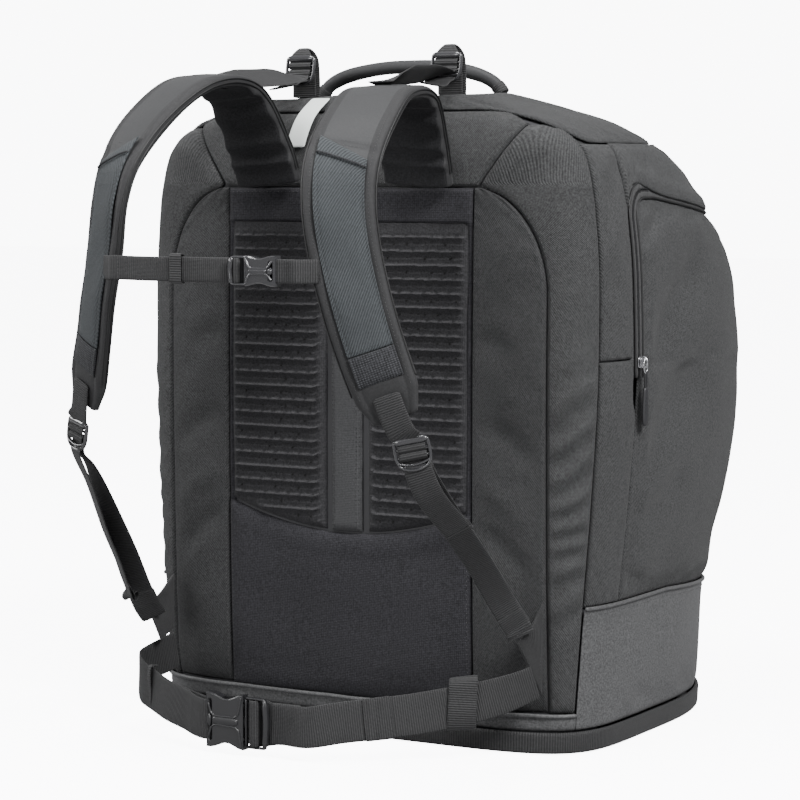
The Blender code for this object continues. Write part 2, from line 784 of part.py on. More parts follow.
def buckle_frame_mesh(web_width):
    """Male part: a ladder frame behind x = 0 with a guide tongue into the socket."""
    half = web_width / 2 + 0.0065
    length = 0.017 + web_width * 0.12
    tongue = 0.11 * web_width + 0.0015
    reach = web_width * 0.25 + 0.006
    outline = [(-length, -half + 0.003), (-length + 0.003, -half), (-0.003, -half),
               (-0.0006, -half + 0.003), (-0.0006, -tongue), (reach, -tongue * 0.7),
               (reach, tongue * 0.7), (-0.0006, tongue), (-0.0006, half - 0.003),
               (-0.003, half), (-length + 0.003, half), (-length, half - 0.003)]  # fmt: skip
    slots = [rounded_box(0.0042, web_width + 0.001, 0.001, (x, 0), 1) for x in (-length + 0.006, -0.0065)]
    return plate_mesh("frame", [outline, *slots], 0.0058, 0.0007)


def buckle_prong_mesh(web_width, side):
    """One spring prong, with the ear that shows in the socket's window."""
    half = web_width / 2 + 0.0065
    length = web_width * 0.5 + 0.021
    inside = 0.80 * half - 0.0018
    outer = inside - 0.0005
    beam = 0.0024
    tip = length * 0.46 + length * 0.10
    outline = [(0.0003, outer - 0.0015 - beam), (length * 0.30, outer - 0.0025 - beam),
               (tip, outer - 0.0020 - beam), (tip, outer - 0.001), (tip - 0.003, outer),
               (length * 0.38, outer), (length * 0.30, outer - 0.0020),
               (0.0003, outer - 0.0012)]  # fmt: skip
    return plate_mesh("prong", [[(x, side * y) for x, y in outline]], 0.0056, 0.0004)


def buckle(prefix, web_width, mouth, x_axis):
    """Socket, frame and both prongs of one buckle, with the mouth's centre at `mouth`."""
    up = (0, 0, 1)
    socket = place_mesh(buckle_socket_mesh(web_width), mouth, x_axis, up)
    add_object(f"{prefix}_buckle_socket", socket, "buckle_plastic", mouth)
    frame = place_mesh(buckle_frame_mesh(web_width), mouth, x_axis, up)
    add_object(f"{prefix}_buckle_frame", frame, "buckle_plastic", mouth)
    root = 0.80 * (web_width / 2 + 0.0065) - 0.0045
    for name, side in (("upper", 1), ("lower", -1)):
        prong = place_mesh(buckle_prong_mesh(web_width, side), mouth, x_axis, up)
        pivot = Vector(mouth) + Vector((0, 0, side * root))
        add_object(f"{prefix}_prong_{name}", prong, "buckle_plastic", pivot)


# ---------------------------------------------------------------- zip sliders and pulls
def sliders():
    z = ZIP_BOTTOM_Z + 0.010
    heading = heading_of_y(z, ZIP_Y)
    out = normal_at(heading, z)
    up = Vector((0, 0, 1))
    across = up.cross(out).normalized()
    seat = skin(heading, z, 0.0010)
    for name, side in SIDES:
        body = plate_mesh("slider", [rounded_box(0.0085, 0.012, 0.003)], 0.0035, 0.0006)
        body = place_mesh(body, seat + out * 0.00185, across, up)
        add_object(f"zip_slider_{name}", mirrored(body, side), "slider_metal", flip(seat, side))
        pivot = seat + out * 0.0062 + up * 0.002
        tab = [(-0.0022, 0.002), (-0.0022, -0.016), (-0.0045, -0.020), (-0.0050, -0.055),
               (-0.0030, -0.060), (0.0030, -0.060), (0.0050, -0.055), (0.0045, -0.020),
               (0.0022, -0.016), (0.0022, 0.002)]  # fmt: skip
        pull = place_mesh(plate_mesh("pull", [tab], 0.0028, 0.0005), pivot, across, up)
        add_object(f"zip_pull_{name}", mirrored(pull, side), "buckle_plastic", flip(pivot, side))


def flip(point, side):
    return Vector((side * point[0], point[1], point[2]))


# ---------------------------------------------------------------- handle and lifters
def grab_handle():
    half = [(0.096, 0.0), (0.093, 0.008), (0.080, 0.013), (0.055, 0.017), (0.026, 0.0195)]
    points = [(x, HANDLE_Y, HANDLE_Z + rise) for x, rise in half]
    points += [(0, HANDLE_Y, HANDLE_Z + 0.0200)] + [(-x, y, z) for x, y, z in reversed(points)]
    line = curve_through(points, 2)
    outline = [(0.5 * math.cos(a), 0.5 * math.sin(a)) for a in steps_between(0, 2 * math.pi, 8)[:-1]]
    sides = [Vector((0, 1, 0))] * len(line)
    thick = 2 * HANDLE_RADIUS
    ribbon("grab_handle", "webbing", line, sides, [thick] * len(line), thick, outline,
           origin=(0, HANDLE_Y, HANDLE_Z))  # fmt: skip


def load_lifters():
    across = (1, 0, 0)
    pivot = Vector(LIFTER_PIVOT)
    for name, side in SIDES:
        line = [(LIFTER_X, LIFTER_Y + 0.006, 0.6065), (LIFTER_X, LIFTER_Y + 0.004, 0.622),
                (LIFTER_X, LIFTER_Y, LIFTER_TOP)]  # fmt: skip
        web(f"lifter_loop_{name}", line, [across] * 2, WEB_MEDIUM, 3, side)
        lock = ladder_lock_mesh(WEB_MEDIUM)
        direction = Vector((0, -0.15, -0.99))
        lock = place_mesh(lock, pivot + direction * 0.013, across, -direction)
        add_object(f"lifter_buckle_{name}", mirrored(lock, side), "buckle_plastic", flip(pivot, side))
        line = [(LIFTER_X + 0.002, -0.190, 0.622), (0.085, -0.218, 0.620), (0.090, -0.258, 0.6185),
                (0.095, -0.292, 0.6185)]  # fmt: skip
        web(f"lifter_strap_{name}", line, [across] * 2, WEB_MEDIUM, 3, side, SWING_AXIS)


# ---------------------------------------------------------------- shoulder harness
def strap_frames(steps=2):
    """Points and width directions along the right strap's middle line."""
    line = curve_through([row[:3] for row in STRAP_LINE], steps)
    turns = curve_through([(row[3], 0, 0) for row in STRAP_LINE], steps)
    sides = [Vector((math.cos(math.radians(t.x)), math.sin(math.radians(t.x)), 0)) for t in turns]
    return line, sides


def strap_width(share):
    return mix(STRAP_TOP_WIDTH, STRAP_END_WIDTH, share) - 0.026 * ease((share - 0.93) / 0.07)


def shoulder_straps():
    line, sides = strap_frames()
    last = len(line) - 1
    widths = [strap_width(i / last) for i in range(last + 1)]
    for name, side in SIDES:
        ribbon(f"shoulder_strap_{name}", "strap_fabric", line, sides, widths, STRAP_THICK,
               padded_section(), side, SWING_AXIS)  # fmt: skip
        rail(name, side, line, sides)
        lock = ladder_lock_mesh(WEB_MEDIUM)
        along = (Vector(LOCK_PLACE) - line[-1]).normalized()
        lock = place_mesh(lock, LOCK_PLACE, sides[-1], -along)
        pivot = Vector(LOCK_PLACE) - along * 0.013
        add_object(f"ladder_lock_{name}", mirrored(lock, side), "buckle_plastic", flip(pivot, side))
        adjust_strap(name, side)


def rail(name, side, line, sides):
    """The centre panel sewn down the strap's outer face, whose edge carries the sternum strap."""
    first, last = 10, 20
    rail_line, rail_sides = [], []
    for i in range(first, last):
        along = (line[i + 1] - line[i - 1]).normalized()
        across = (sides[i] - along * sides[i].dot(along)).normalized()
        out = along.cross(across)
        rail_line.append(line[i] + out * (STRAP_THICK / 2 + RAIL_LIFT))
        rail_sides.append(across)
    ribbon(f"strap_rail_{name}", "webbing", rail_line, rail_sides, [RAIL_WIDTH] * len(rail_line),
           WEB_THICK, flat_section(), side, SWING_AXIS)  # fmt: skip


def adjust_strap(name, side):
    """Lower webbing, from the corner tab towards the strap's ladder lock."""
    line = [(0.1985, -0.228, 0.112), (0.197, -0.258, 0.140), (0.1915, -0.305, 0.186),
            (0.1865, -0.338, 0.222)]  # fmt: skip
    turns = [(0.55, -0.30, 0.40), (0.80, -0.30, 0.30), (0.95, 0.20, 0.10)]
    web(f"adjust_strap_{name}", line, turns, WEB_MEDIUM, 4, side)


def corner_tabs():
    """Folded triangular webbing that anchors the lower strap at the corner seam."""
    corners = [(0.219, -0.1925, 0.148), (0.2165, -0.1945, 0.052), (0.199, -0.228, 0.102)]
    for name, side in SIDES:

        def build(bm, side=side):
            lift = Vector((0.35, -0.55, 0.0)).normalized()
            rings = []
            for shift in (0.0009, -0.0009):
                rings.append([bm.verts.new(flip(Vector(p) + lift * (shift + 0.0040), side)) for p in corners])
            bm.faces.new(rings[0])
            bm.faces.new(rings[1])
            for i in range(3):
                k = (i + 1) % 3
                bm.faces.new((rings[0][i], rings[0][k], rings[1][k], rings[1][i]))

        add_object(f"corner_tab_{name}", closed_mesh(f"corner_tab_{name}", build), "webbing")


def sternum_strap():
    up = [(0, 0, 1)] * 2
    length = WEB_SMALL * 0.5 + 0.021
    start = STERNUM_BUCKLE_X - 0.058
    left = [(-0.1015, -0.4415, STERNUM_Z), (-0.090, STERNUM_Y, STERNUM_Z), (start, STERNUM_Y, STERNUM_Z)]
    web("sternum_web_left", left, up, WEB_SMALL, 2)
    end = STERNUM_BUCKLE_X + length + 0.0006
    right = [(end, STERNUM_Y, STERNUM_Z), (0.0900, STERNUM_Y, STERNUM_Z), (0.1015, -0.4415, STERNUM_Z)]
    web("sternum_web_right", right, up, WEB_SMALL, 2)
    buckle("sternum", WEB_SMALL, (STERNUM_BUCKLE_X, STERNUM_Y, STERNUM_Z), (1, 0, 0))


def hip_belt():
    up = [(0, 0.10, 1), (0, 0, 1), (0, 0, 1)]
    x, y, z = BELT_BUCKLE
    length = WEB_WIDE * 0.5 + 0.021
    end = x - length - 0.0025
    left = [(end, y, z), (end - 0.030, y + 0.010, z + 0.003), (-0.185, -0.275, 0.046), (-0.207, -0.240, 0.058)]
    web("hip_web_left", left, up, WEB_WIDE, 4, origin=BELT_PIVOT)
    start = x + 0.066
    right = [(start, y + 0.002, z + 0.001), (0.075, -0.300, 0.040), (0.140, -0.268, 0.050), (0.199, -0.238, 0.062)]
    web("hip_web_right", right, up, WEB_WIDE, 4, origin=BELT_PIVOT)
    buckle("hip", WEB_WIDE, (x, y, z), (-1, 0, 0))


def care_label():
    """A small blank label that hangs from the yoke's top seam."""

    def place(s, t):
        z = mix(0.556, YOKE_TOP - 0.0025, t)
        return heading_of_x(z, mix(-0.066, -0.026, s)), z

    sheet("care_label", "label", place, 0.0022, 0.0012, 2, 2)


# ---------------------------------------------------------------- assembly
SIDES = (("right", 1), ("left", -1))
FLAP_AXIS = (0.0, section(ZIP_BOTTOM_Z)[2] + 0.001, ZIP_BOTTOM_Z)
SWING_AXIS = (0.0, SWING_Y, BACK_SEAM_Z)

clear_scene()
PARTS = collection("ski_boot_backpack")
back_panels()
side_panels()
front_panels()
boot_tub()
top_panel()
base()
zip_tape("zip_tape_outer", TAPE_OFFSET, ZIP_BOTTOM_Z - 0.012)
zip_tape("zip_tape_flap", -TAPE_OFFSET, ZIP_BOTTOM_Z, FLAP_AXIS)
sliders()
grab_handle()
load_lifters()
shoulder_straps()
corner_tabs()
sternum_strap()
hip_belt()
care_label()
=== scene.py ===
import math

import bpy
import bmesh
import numpy as np
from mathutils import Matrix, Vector


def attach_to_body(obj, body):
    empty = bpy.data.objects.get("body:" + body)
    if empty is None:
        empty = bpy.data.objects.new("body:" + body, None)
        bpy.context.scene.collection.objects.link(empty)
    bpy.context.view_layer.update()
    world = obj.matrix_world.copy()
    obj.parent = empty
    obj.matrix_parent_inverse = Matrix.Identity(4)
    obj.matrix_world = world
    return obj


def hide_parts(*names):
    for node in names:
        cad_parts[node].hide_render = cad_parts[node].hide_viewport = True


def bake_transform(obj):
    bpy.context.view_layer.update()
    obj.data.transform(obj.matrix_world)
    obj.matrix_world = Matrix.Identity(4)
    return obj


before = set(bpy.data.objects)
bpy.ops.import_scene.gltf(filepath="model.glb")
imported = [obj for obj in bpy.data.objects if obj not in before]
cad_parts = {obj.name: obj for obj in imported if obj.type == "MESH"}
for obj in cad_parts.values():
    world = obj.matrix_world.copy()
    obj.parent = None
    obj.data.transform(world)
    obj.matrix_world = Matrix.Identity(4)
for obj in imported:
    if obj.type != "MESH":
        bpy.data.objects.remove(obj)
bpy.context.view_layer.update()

# ---------------------------------------------------------------- sizes in metres
CASE = np.array((
    (0.0, 0.238, -0.205, 0.205, -0.03),
    (0.13, 0.243, -0.21, 0.218, -0.03),
    (0.23, 0.249, -0.211, 0.262, -0.02),
    (0.34, 0.252, -0.211, 0.298, -0.02),
    (0.43, 0.25, -0.21, 0.28, -0.03),
    (0.5, 0.243, -0.208, 0.212, -0.05),
    (0.545, 0.232, -0.205, 0.13, -0.07),
    (0.575, 0.2, -0.198, 0.045, -0.09),
    (0.6, 0.12, -0.175, -0.04, -0.11),
))  # height, half width, back, front, widest point
BACK_POWER, FRONT_POWER = 6.0, 2.7
CROWN_RISE = 0.004

RIM_TOP = 0.021
STRIP_TOP = 0.036
TUB_SIDE_TOP, TUB_FRONT_TOP = 0.134, 0.118
SIDE_SEAM_Z = 0.359
BACK_SEAM_Z = 0.517
YOKE_TOP, YOKE_SHARE = 0.588, 0.9
SHOULDER_SEAM_Z = 0.558
CENTRE_X = 0.1325
WING_X, WING_ARC_Z = 0.205, 0.42
ZIP_Y, ZIP_BOTTOM_Z, ZIP_ARCH_Z = -0.105, 0.346, 0.486
ZIP_CORNER, ZIP_FRONT_DROP, ZIP_HALF = 0.0285, 0.03, 0.008
PAD_TOP, PAD_LOW, PAD_LOW_RISE = 0.484, 0.193, 0.026
PAD_INNER_X, PAD_FACE_X = 0.022, 0.13
SPINE_FACE_X = 0.0165
HALF_GAP = 0.0004
SIDES = (("right", 1), ("left", -1))
SEAM_INSET = 0.0035
STRAP_WEB, BELT_WEB, WEB_THICK = 0.025, 0.038, 0.0018
# stitches: pitch, length, width, height
FINE_STITCH = (0.003, 0.0022, 0.0009, 0.0006)
BOLD_STITCH = (0.003, 0.0022, 0.001, 0.0007)
EDGE_STITCH = (0.0032, 0.0022, 0.0008, 0.0005)
PANEL_STITCH = (0.0034, 0.0025, 0.0009, 0.0006)


# ---------------------------------------------------------------- small maths
def mix(a, b, t):
    return a + (b - a) * t


def ease(t):
    t = np.clip(t, 0.0, 1.0)
    return t * t * (3 - 2 * t)


def bell(distance, width):
    return np.exp(-((distance / width) ** 2))


def unit(v):
    return v / np.maximum(np.linalg.norm(v, axis=-1, keepdims=True), 1e-12)


def square_to(sides, along):
    """Unit directions at right angles to `along`, as near to `sides` as they can be."""
    return unit(sides - along * np.sum(along * sides, -1, keepdims=True))


def run_of(line):
    """Distance along a line, at each of its points."""
    return np.concatenate([[0], np.cumsum(np.linalg.norm(np.diff(line, axis=0), axis=1))])


def circle(count):
    return np.arange(count) / count * 2 * math.pi


def cells(rows, cols):
    """Indices of a grid's points, and its faces."""
    index = np.arange(rows * cols).reshape(rows, cols)
    faces = np.stack([index[:-1, :-1], index[:-1, 1:], index[1:, 1:], index[1:, :-1]], -1)
    return index, faces.reshape(-1, 4)


def waves(u, v, seed, size, count=7):
    """A seeded, smooth, uneven field of about -1 to 1, with features of the given size."""
    rng = np.random.default_rng(seed)
    total = 0
    for _ in range(count):
        turn, pitch, phase = rng.uniform(0, math.pi), size * rng.uniform(0.7, 1.9), rng.uniform(0, 6.28)
        total = total + np.sin((u * math.cos(turn) + v * math.sin(turn)) * 6.283 / pitch + phase)
    return total / math.sqrt(count)


def fold(u, v, start, end, width, height):
    """One soft fold between two places of a panel: a ridge, or a crease if height is below zero."""
    du, dv = end[0] - start[0], end[1] - start[1]
    length = math.hypot(du, dv)
    along = ((u - start[0]) * du + (v - start[1]) * dv) / length**2
    across = ((u - start[0]) * dv - (v - start[1]) * du) / length
    bow = 0.06 * length * np.sin(np.clip(along, 0, 1) * math.pi)
    return height * bell(across + bow, width) * ease(along * 3) * ease((1 - along) * 3)


def folds(u, v, *rows):
    """Several folds, each a start, an end, a width and a height."""
    return sum(fold(u, v, *row) for row in rows)


# ---------------------------------------------------------------- the case's surface
KNOTS = CASE[:, 0]
SECANTS = np.diff(CASE[:, 1:], axis=0) / np.diff(KNOTS)[:, None]
TOTALS = SECANTS[:-1] + SECANTS[1:]
MEANS = 2 * SECANTS[:-1] * SECANTS[1:] / np.where(TOTALS == 0, 1, TOTALS)
MIDDLE_SLOPES = np.where(SECANTS[:-1] * SECANTS[1:] > 0, MEANS, 0)
SLOPES = np.concatenate([SECANTS[:1], MIDDLE_SLOPES, SECANTS[-1:]])


def section(z):
    """Half width, back, front and widest place at each height."""
    z = np.clip(np.asarray(z, float), KNOTS[0], KNOTS[-1])
    k = np.clip(np.searchsorted(KNOTS[1:], z, side="left"), 0, len(KNOTS) - 2)
    span = (KNOTS[k + 1] - KNOTS[k])[..., None]
    t = ((z - KNOTS[k]) / span[..., 0])[..., None]
    made = (
        (1 + 2 * t) * (1 - t) ** 2 * CASE[k, 1:]
        + t * (1 - t) ** 2 * span * SLOPES[k]
        + t * t * (3 - 2 * t) * CASE[k + 1, 1:]
        + t * t * (t - 1) * span * SLOPES[k + 1]
    )
    return np.moveaxis(made, -1, 0)


def on_case(heading, z):
    """Points of the case at a heading (-90 back, 0 right, 90 front, 180 left) and a height."""
    heading, z = np.broadcast_arrays(np.asarray(heading, float), np.asarray(z, float))
    half, back, front, middle = section(z)
    across, ahead = np.cos(np.radians(heading)), np.sin(np.radians(heading))
    power = np.where(ahead > 0, FRONT_POWER, BACK_POWER)
    depth = np.where(ahead > 0, front - middle, middle - back)
    reach = (np.abs(across) ** power + np.abs(ahead) ** power) ** (-1 / power)
    return np.stack([half * reach * across, middle + depth * reach * ahead, z], -1)


def normal_at(heading, z):
    z = np.minimum(z, 0.598)
    return unit(np.cross(
        on_case(heading + 0.25, z) - on_case(heading - 0.25, z),
        on_case(heading, z + 0.001) - on_case(heading, z - 0.001),
    ))


def skin(heading, z, lift=0.0):
    return on_case(heading, z) + normal_at(heading, z) * np.asarray(lift)[..., None]


def heading_of_x(z, x):
    share = np.minimum(np.abs(x) / section(z)[0], 0.9999)
    angle = np.degrees(np.arctan2(-((1 - share**BACK_POWER) ** (1 / BACK_POWER)), share))
    return np.where(np.asarray(x) >= 0, angle, -180 - angle)


def heading_of_y(z, y):
    _, back, front, middle = section(z)
    ahead = y > middle
    power = np.where(ahead, FRONT_POWER, BACK_POWER)
    share = np.clip((y - middle) / np.where(ahead, front - middle, middle - back), -0.9999, 0.9999)
    return np.degrees(np.arctan2(share, (1 - np.abs(share) ** power) ** (1 / power)))


def right_heading(heading):
    turned = (heading + 90) % 360 - 90
    return np.where(turned > 90, 180 - turned, turned)


def wing_x(z):
    rise = np.clip((z - WING_ARC_Z) / (BACK_SEAM_Z - WING_ARC_Z), 0, 1)
    return CENTRE_X + (WING_X - CENTRE_X) * np.sqrt(1 - rise * rise)


def yoke_x(z):
    return np.minimum(CENTRE_X + 0.004 + 0.72 * (z - BACK_SEAM_Z), YOKE_SHARE * section(z)[0])


def gusset_y(z):
    return -0.176 + 0.012 * ease(z / 0.5)


def front_seam_y(z):
    return -0.124 + 0.095 * (np.minimum(z, ZIP_BOTTOM_Z) - TUB_SIDE_TOP)


def side_front_y(z):
    return mix(front_seam_y(z), ZIP_Y - ZIP_HALF, ease((z - 0.304) / 0.018)) - HALF_GAP


def tub_top(heading):
    return mix(TUB_SIDE_TOP, TUB_FRONT_TOP, np.sin(np.radians(np.maximum(heading, 0))))


def seam_height(heading):
    return mix(YOKE_TOP, SHOULDER_SEAM_Z, ease((heading + 48) / 20))


def pad_low(x):
    return PAD_LOW + PAD_LOW_RISE * (x / CENTRE_X) ** 2


def zip_run_z(heading):
    return ZIP_ARCH_Z + ZIP_CORNER - ZIP_FRONT_DROP * np.maximum(np.sin(np.radians(heading)), 0)


def arch_edge(heading, margin):
    y = on_case(heading, ZIP_ARCH_Z)[..., 1]
    centre_y, radius = ZIP_Y + ZIP_CORNER, ZIP_CORNER + margin
    arc = ZIP_ARCH_Z + np.sqrt(np.maximum(radius**2 - (centre_y - y) ** 2, 0))
    return np.where(y >= centre_y, zip_run_z(heading) + margin, arc)


def spread(s):
    half = 1 - np.abs(2 * s - 1)
    return np.where(s <= 0.5, half**1.8 / 2, 1 - half**1.8 / 2)


def front_heading(s, z, first_y):
    start = heading_of_y(z, first_y)
    return mix(start, 180 - start, s)


# ---------------------------------------------------------------- materials
def node_material(name, build):
    mat = bpy.data.materials.new(name)
    mat.use_nodes = True
    tree = mat.node_tree
    tree.nodes.clear()
    output = tree.nodes.new("ShaderNodeOutputMaterial")
    shader = tree.nodes.new("ShaderNodeBsdfPrincipled")
    tree.links.new(shader.outputs[0], output.inputs[0])
    build(tree, shader)
    return mat


def math_node(tree, operation, a, b=None):
    node = tree.nodes.new("ShaderNodeMath")
    node.operation = operation
    for socket, value in zip(node.inputs, (a, b)):
        if value is None:
            continue
        if hasattr(value, "links"):
            tree.links.new(value, socket)
        else:
            socket.default_value = value
    return node.outputs[0]


def sine_of(tree, value, pitch):
    """A sine from 0 to 1 along a distance in metres."""
    wave = math_node(tree, "SINE", math_node(tree, "MULTIPLY", value, 2 * math.pi / pitch))
    return math_node(tree, "ADD", math_node(tree, "MULTIPLY", wave, 0.5), 0.5)


def noise_node(tree, scale, detail):
    """Uneven tone in the piece's own space, about 0.5."""
    place = tree.nodes.new("ShaderNodeTexCoord")
    noise = tree.nodes.new("ShaderNodeTexNoise")
    noise.inputs["Scale"].default_value = scale
    noise.inputs["Detail"].default_value = detail
    tree.links.new(place.outputs["Object"], noise.inputs["Vector"])
    return noise.outputs[0]


def about_zero(tree, value, share):
    return math_node(tree, "MULTIPLY", math_node(tree, "SUBTRACT", value, 0.5), share)


def tint(tree, shader, colour, share):
    """Base colour times a share that the nodes work out."""
    scaled = tree.nodes.new("ShaderNodeVectorMath")
    scaled.operation = "SCALE"
    scaled.inputs[0].default_value = colour
    tree.links.new(share, scaled.inputs["Scale"])
    tree.links.new(scaled.outputs[0], shader.inputs["Base Color"])


def emboss(tree, shader, height, strength, distance):
    bump = tree.nodes.new("ShaderNodeBump")
    bump.inputs["Strength"].default_value = strength
    bump.inputs["Distance"].default_value = distance
    tree.links.new(height, bump.inputs["Height"])
    tree.links.new(bump.outputs[0], shader.inputs["Normal"])


def set_inputs(shader, values):
    for key, value in values.items():
        shader.inputs[key].default_value = value


def weave_height(tree, kind, pitch):
    """Height of the thread pattern over the piece's own metric UV."""
    place = tree.nodes.new("ShaderNodeUVMap")
    split = tree.nodes.new("ShaderNodeSeparateXYZ")
    tree.links.new(place.outputs[0], split.inputs[0])
    u, v = split.outputs[0], split.outputs[1]
    if kind == "twill":
        slanted = math_node(tree, "ADD", u, math_node(tree, "MULTIPLY", v, 0.7))
        cross = math_node(tree, "SUBTRACT", u, math_node(tree, "MULTIPLY", v, 1.4))
        return math_node(tree, "ADD", sine_of(tree, slanted, pitch),
                         math_node(tree, "MULTIPLY", sine_of(tree, cross, pitch * 0.62), 0.4))
    if kind == "rib":
        ribs = sine_of(tree, v, pitch)
        threads = sine_of(tree, u, pitch * 0.55)
        return math_node(tree, "ADD", ribs, math_node(tree, "MULTIPLY", threads, 0.45))
    if kind == "mesh":
        holes = math_node(tree, "MULTIPLY", sine_of(tree, u, pitch), sine_of(tree, v, pitch * 0.8))
        return math_node(tree, "POWER", holes, 0.5)
    if kind == "knit":
        wobble = math_node(tree, "ADD", v,
                           math_node(tree, "MULTIPLY", sine_of(tree, u, pitch), pitch * 0.35))
        return sine_of(tree, wobble, pitch * 0.75)
    return math_node(tree, "MULTIPLY", sine_of(tree, u, pitch), sine_of(tree, v, pitch))


WEAR_SCALE, LINT_SCALE, HARD_SCALE = 9.0, 560.0, 60.0
CLOTH_BUMP, HARD_BUMP = 0.0004, 0.0003


def cloth_material(name, colour, roughness, kind, pitch, depth, sheen=0.25, mottle=0.12, shade=0.25,
                   grain_share=1.8):
    """Woven or knitted fabric: threads, uneven dye, a little sheen, and painted shade and highlight in the
    weave.
    """

    def build(tree, shader):
        height = weave_height(tree, kind, pitch)
        lint = noise_node(tree, LINT_SCALE, 2.0)
        wear = about_zero(tree, noise_node(tree, WEAR_SCALE, 5.0), 2 * mottle)
        uneven = math_node(tree, "ADD", wear, about_zero(tree, lint, grain_share))
        # painted shade and highlight: the colour is made darker where the weave sits low and lighter on the
        # raised threads
        threads = math_node(tree, "ADD", about_zero(tree, height, shade), 1.0)
        tint(tree, shader, colour, math_node(tree, "ADD", uneven, threads))
        set_inputs(shader, {"Roughness": roughness, "Sheen Weight": sheen, "Sheen Roughness": 0.45,
                            "Specular IOR Level": 0.22})
        raised = math_node(tree, "ADD", height, math_node(tree, "MULTIPLY", lint, 0.5))
        emboss(tree, shader, raised, depth, CLOTH_BUMP)

    return node_material(name, build)


def hard_material(name, colour, roughness, metallic=0.0, coat=0.0, grain=0.15):
    """Moulded plastic, coated sheet or metal with faint uneven gloss."""

    def build(tree, shader):
        cloud = noise_node(tree, HARD_SCALE, 4.0)
        uneven = about_zero(tree, cloud, grain)
        tint(tree, shader, colour, math_node(tree, "ADD", uneven, 1.0))
        tree.links.new(math_node(tree, "ADD", uneven, roughness), shader.inputs["Roughness"])
        set_inputs(shader, {"Metallic": metallic, "Coat Weight": coat, "Coat Roughness": 0.25})
        emboss(tree, shader, cloud, 0.12, HARD_BUMP)

    return node_material(name, build)


M = {
    "fabric": cloth_material("pack_fabric", (0.035, 0.0355, 0.0362), 0.78, "twill", 0.0021, 0.8, 0.05, 0.2,
                             0.55, 2.3),
    "back_mesh": cloth_material("back_mesh", (0.0245, 0.024, 0.0275), 0.9, "mesh", 0.002, 0.6, 0.04, 0.1,
                                0.5),
    "pad": cloth_material("pad_foam", (0.0255, 0.0252, 0.0272), 0.85, "mesh", 0.0018, 0.5, 0.05, 0.1, 0.3),
    "wing": cloth_material("wing_fabric", (0.0275, 0.0278, 0.0286), 0.82, "twill", 0.002, 0.7, 0.05, 0.18,
                           0.65, 2.1),
    "spine": cloth_material("spine_fabric", (0.046, 0.0465, 0.0485), 0.8, "plain", 0.0016, 0.4, 0.05, 0.08,
                            0.35, 0.8),
    # the pad colour made lighter: a painted highlight laid on the raised lines of the pads
    "ridge": cloth_material("pad_ridge_painted_highlight", (0.033, 0.0325, 0.0348), 0.8, "mesh", 0.0018, 0.4, 0.05, 0.1, 0.2),
    # near-black eyelet: painted shade standing in for the small holes in the pad mesh
    "hole": hard_material("eyelet", (0.002, 0.002, 0.002), 0.95),
    "tarp": cloth_material("tarpaulin", (0.0745, 0.075, 0.0766), 0.42, "plain", 0.002, 0.12, 0.0, 0.1,
                           0.06),
    "strap": cloth_material("strap_fabric", (0.035, 0.0355, 0.0368), 0.55, "knit", 0.0012, 0.2, 0.05, 0.06,
                            0.12, 0.5),
    "strap_mesh": cloth_material("strap_mesh", (0.0345, 0.0385, 0.0415), 0.7, "twill", 0.0026, 0.8, 0.05,
                                 0.1, 0.9, 1.0),
    "strap_side": cloth_material("strap_side", (0.017, 0.017, 0.0185), 0.85, "mesh", 0.0016, 0.5, 0.03),
    "binding": cloth_material("binding", (0.0235, 0.0235, 0.0245), 0.62, "rib", 0.0011, 0.3, 0.05, 0.06,
                              0.2, 0.8),
    "patch": cloth_material("strap_patch", (0.03, 0.031, 0.034), 0.75, "mesh", 0.0024, 1.0, 0.04, 0.06,
                            1.0),
    "web": cloth_material("webbing", (0.0235, 0.0235, 0.0242), 0.6, "rib", 0.0021, 0.8, 0.05, 0.1, 0.75,
                          0.9),
    "coil": cloth_material("zip_coil", (0.01, 0.01, 0.011), 0.55, "rib", 0.0012, 0.7, 0.02, 0.05, 0.4),
    "tape": cloth_material("zip_tape", (0.046, 0.046, 0.047), 0.7, "twill", 0.0014, 0.3, 0.03, 0.06, 0.3),
    "thread": hard_material("thread", (0.05, 0.05, 0.052), 0.6),
    "dark_thread": hard_material("dark_thread", (0.006, 0.006, 0.0065), 0.6),
    "light_thread": hard_material("light_thread", (0.055, 0.055, 0.058), 0.75),
    "plastic": hard_material("buckle_plastic", (0.014, 0.014, 0.0155), 0.36, 0.0, 0.35, 0.08),
    "gloss": hard_material("buckle_gloss", (0.03, 0.03, 0.033), 0.16, 0.15, 1.0, 0.06),
    "metal": hard_material("slider_metal", (0.6, 0.6, 0.62), 0.26, 1.0, 0.0, 0.12),
    "rubber": hard_material("pull_rubber", (0.016, 0.016, 0.018), 0.5),
    "label": cloth_material("label", (0.72, 0.76, 0.74), 0.8, "plain", 0.0008, 0.05, 0.0, 0.03, 0.03, 0.1),
    "board": hard_material("board", (0.03, 0.03, 0.033), 0.6),
}


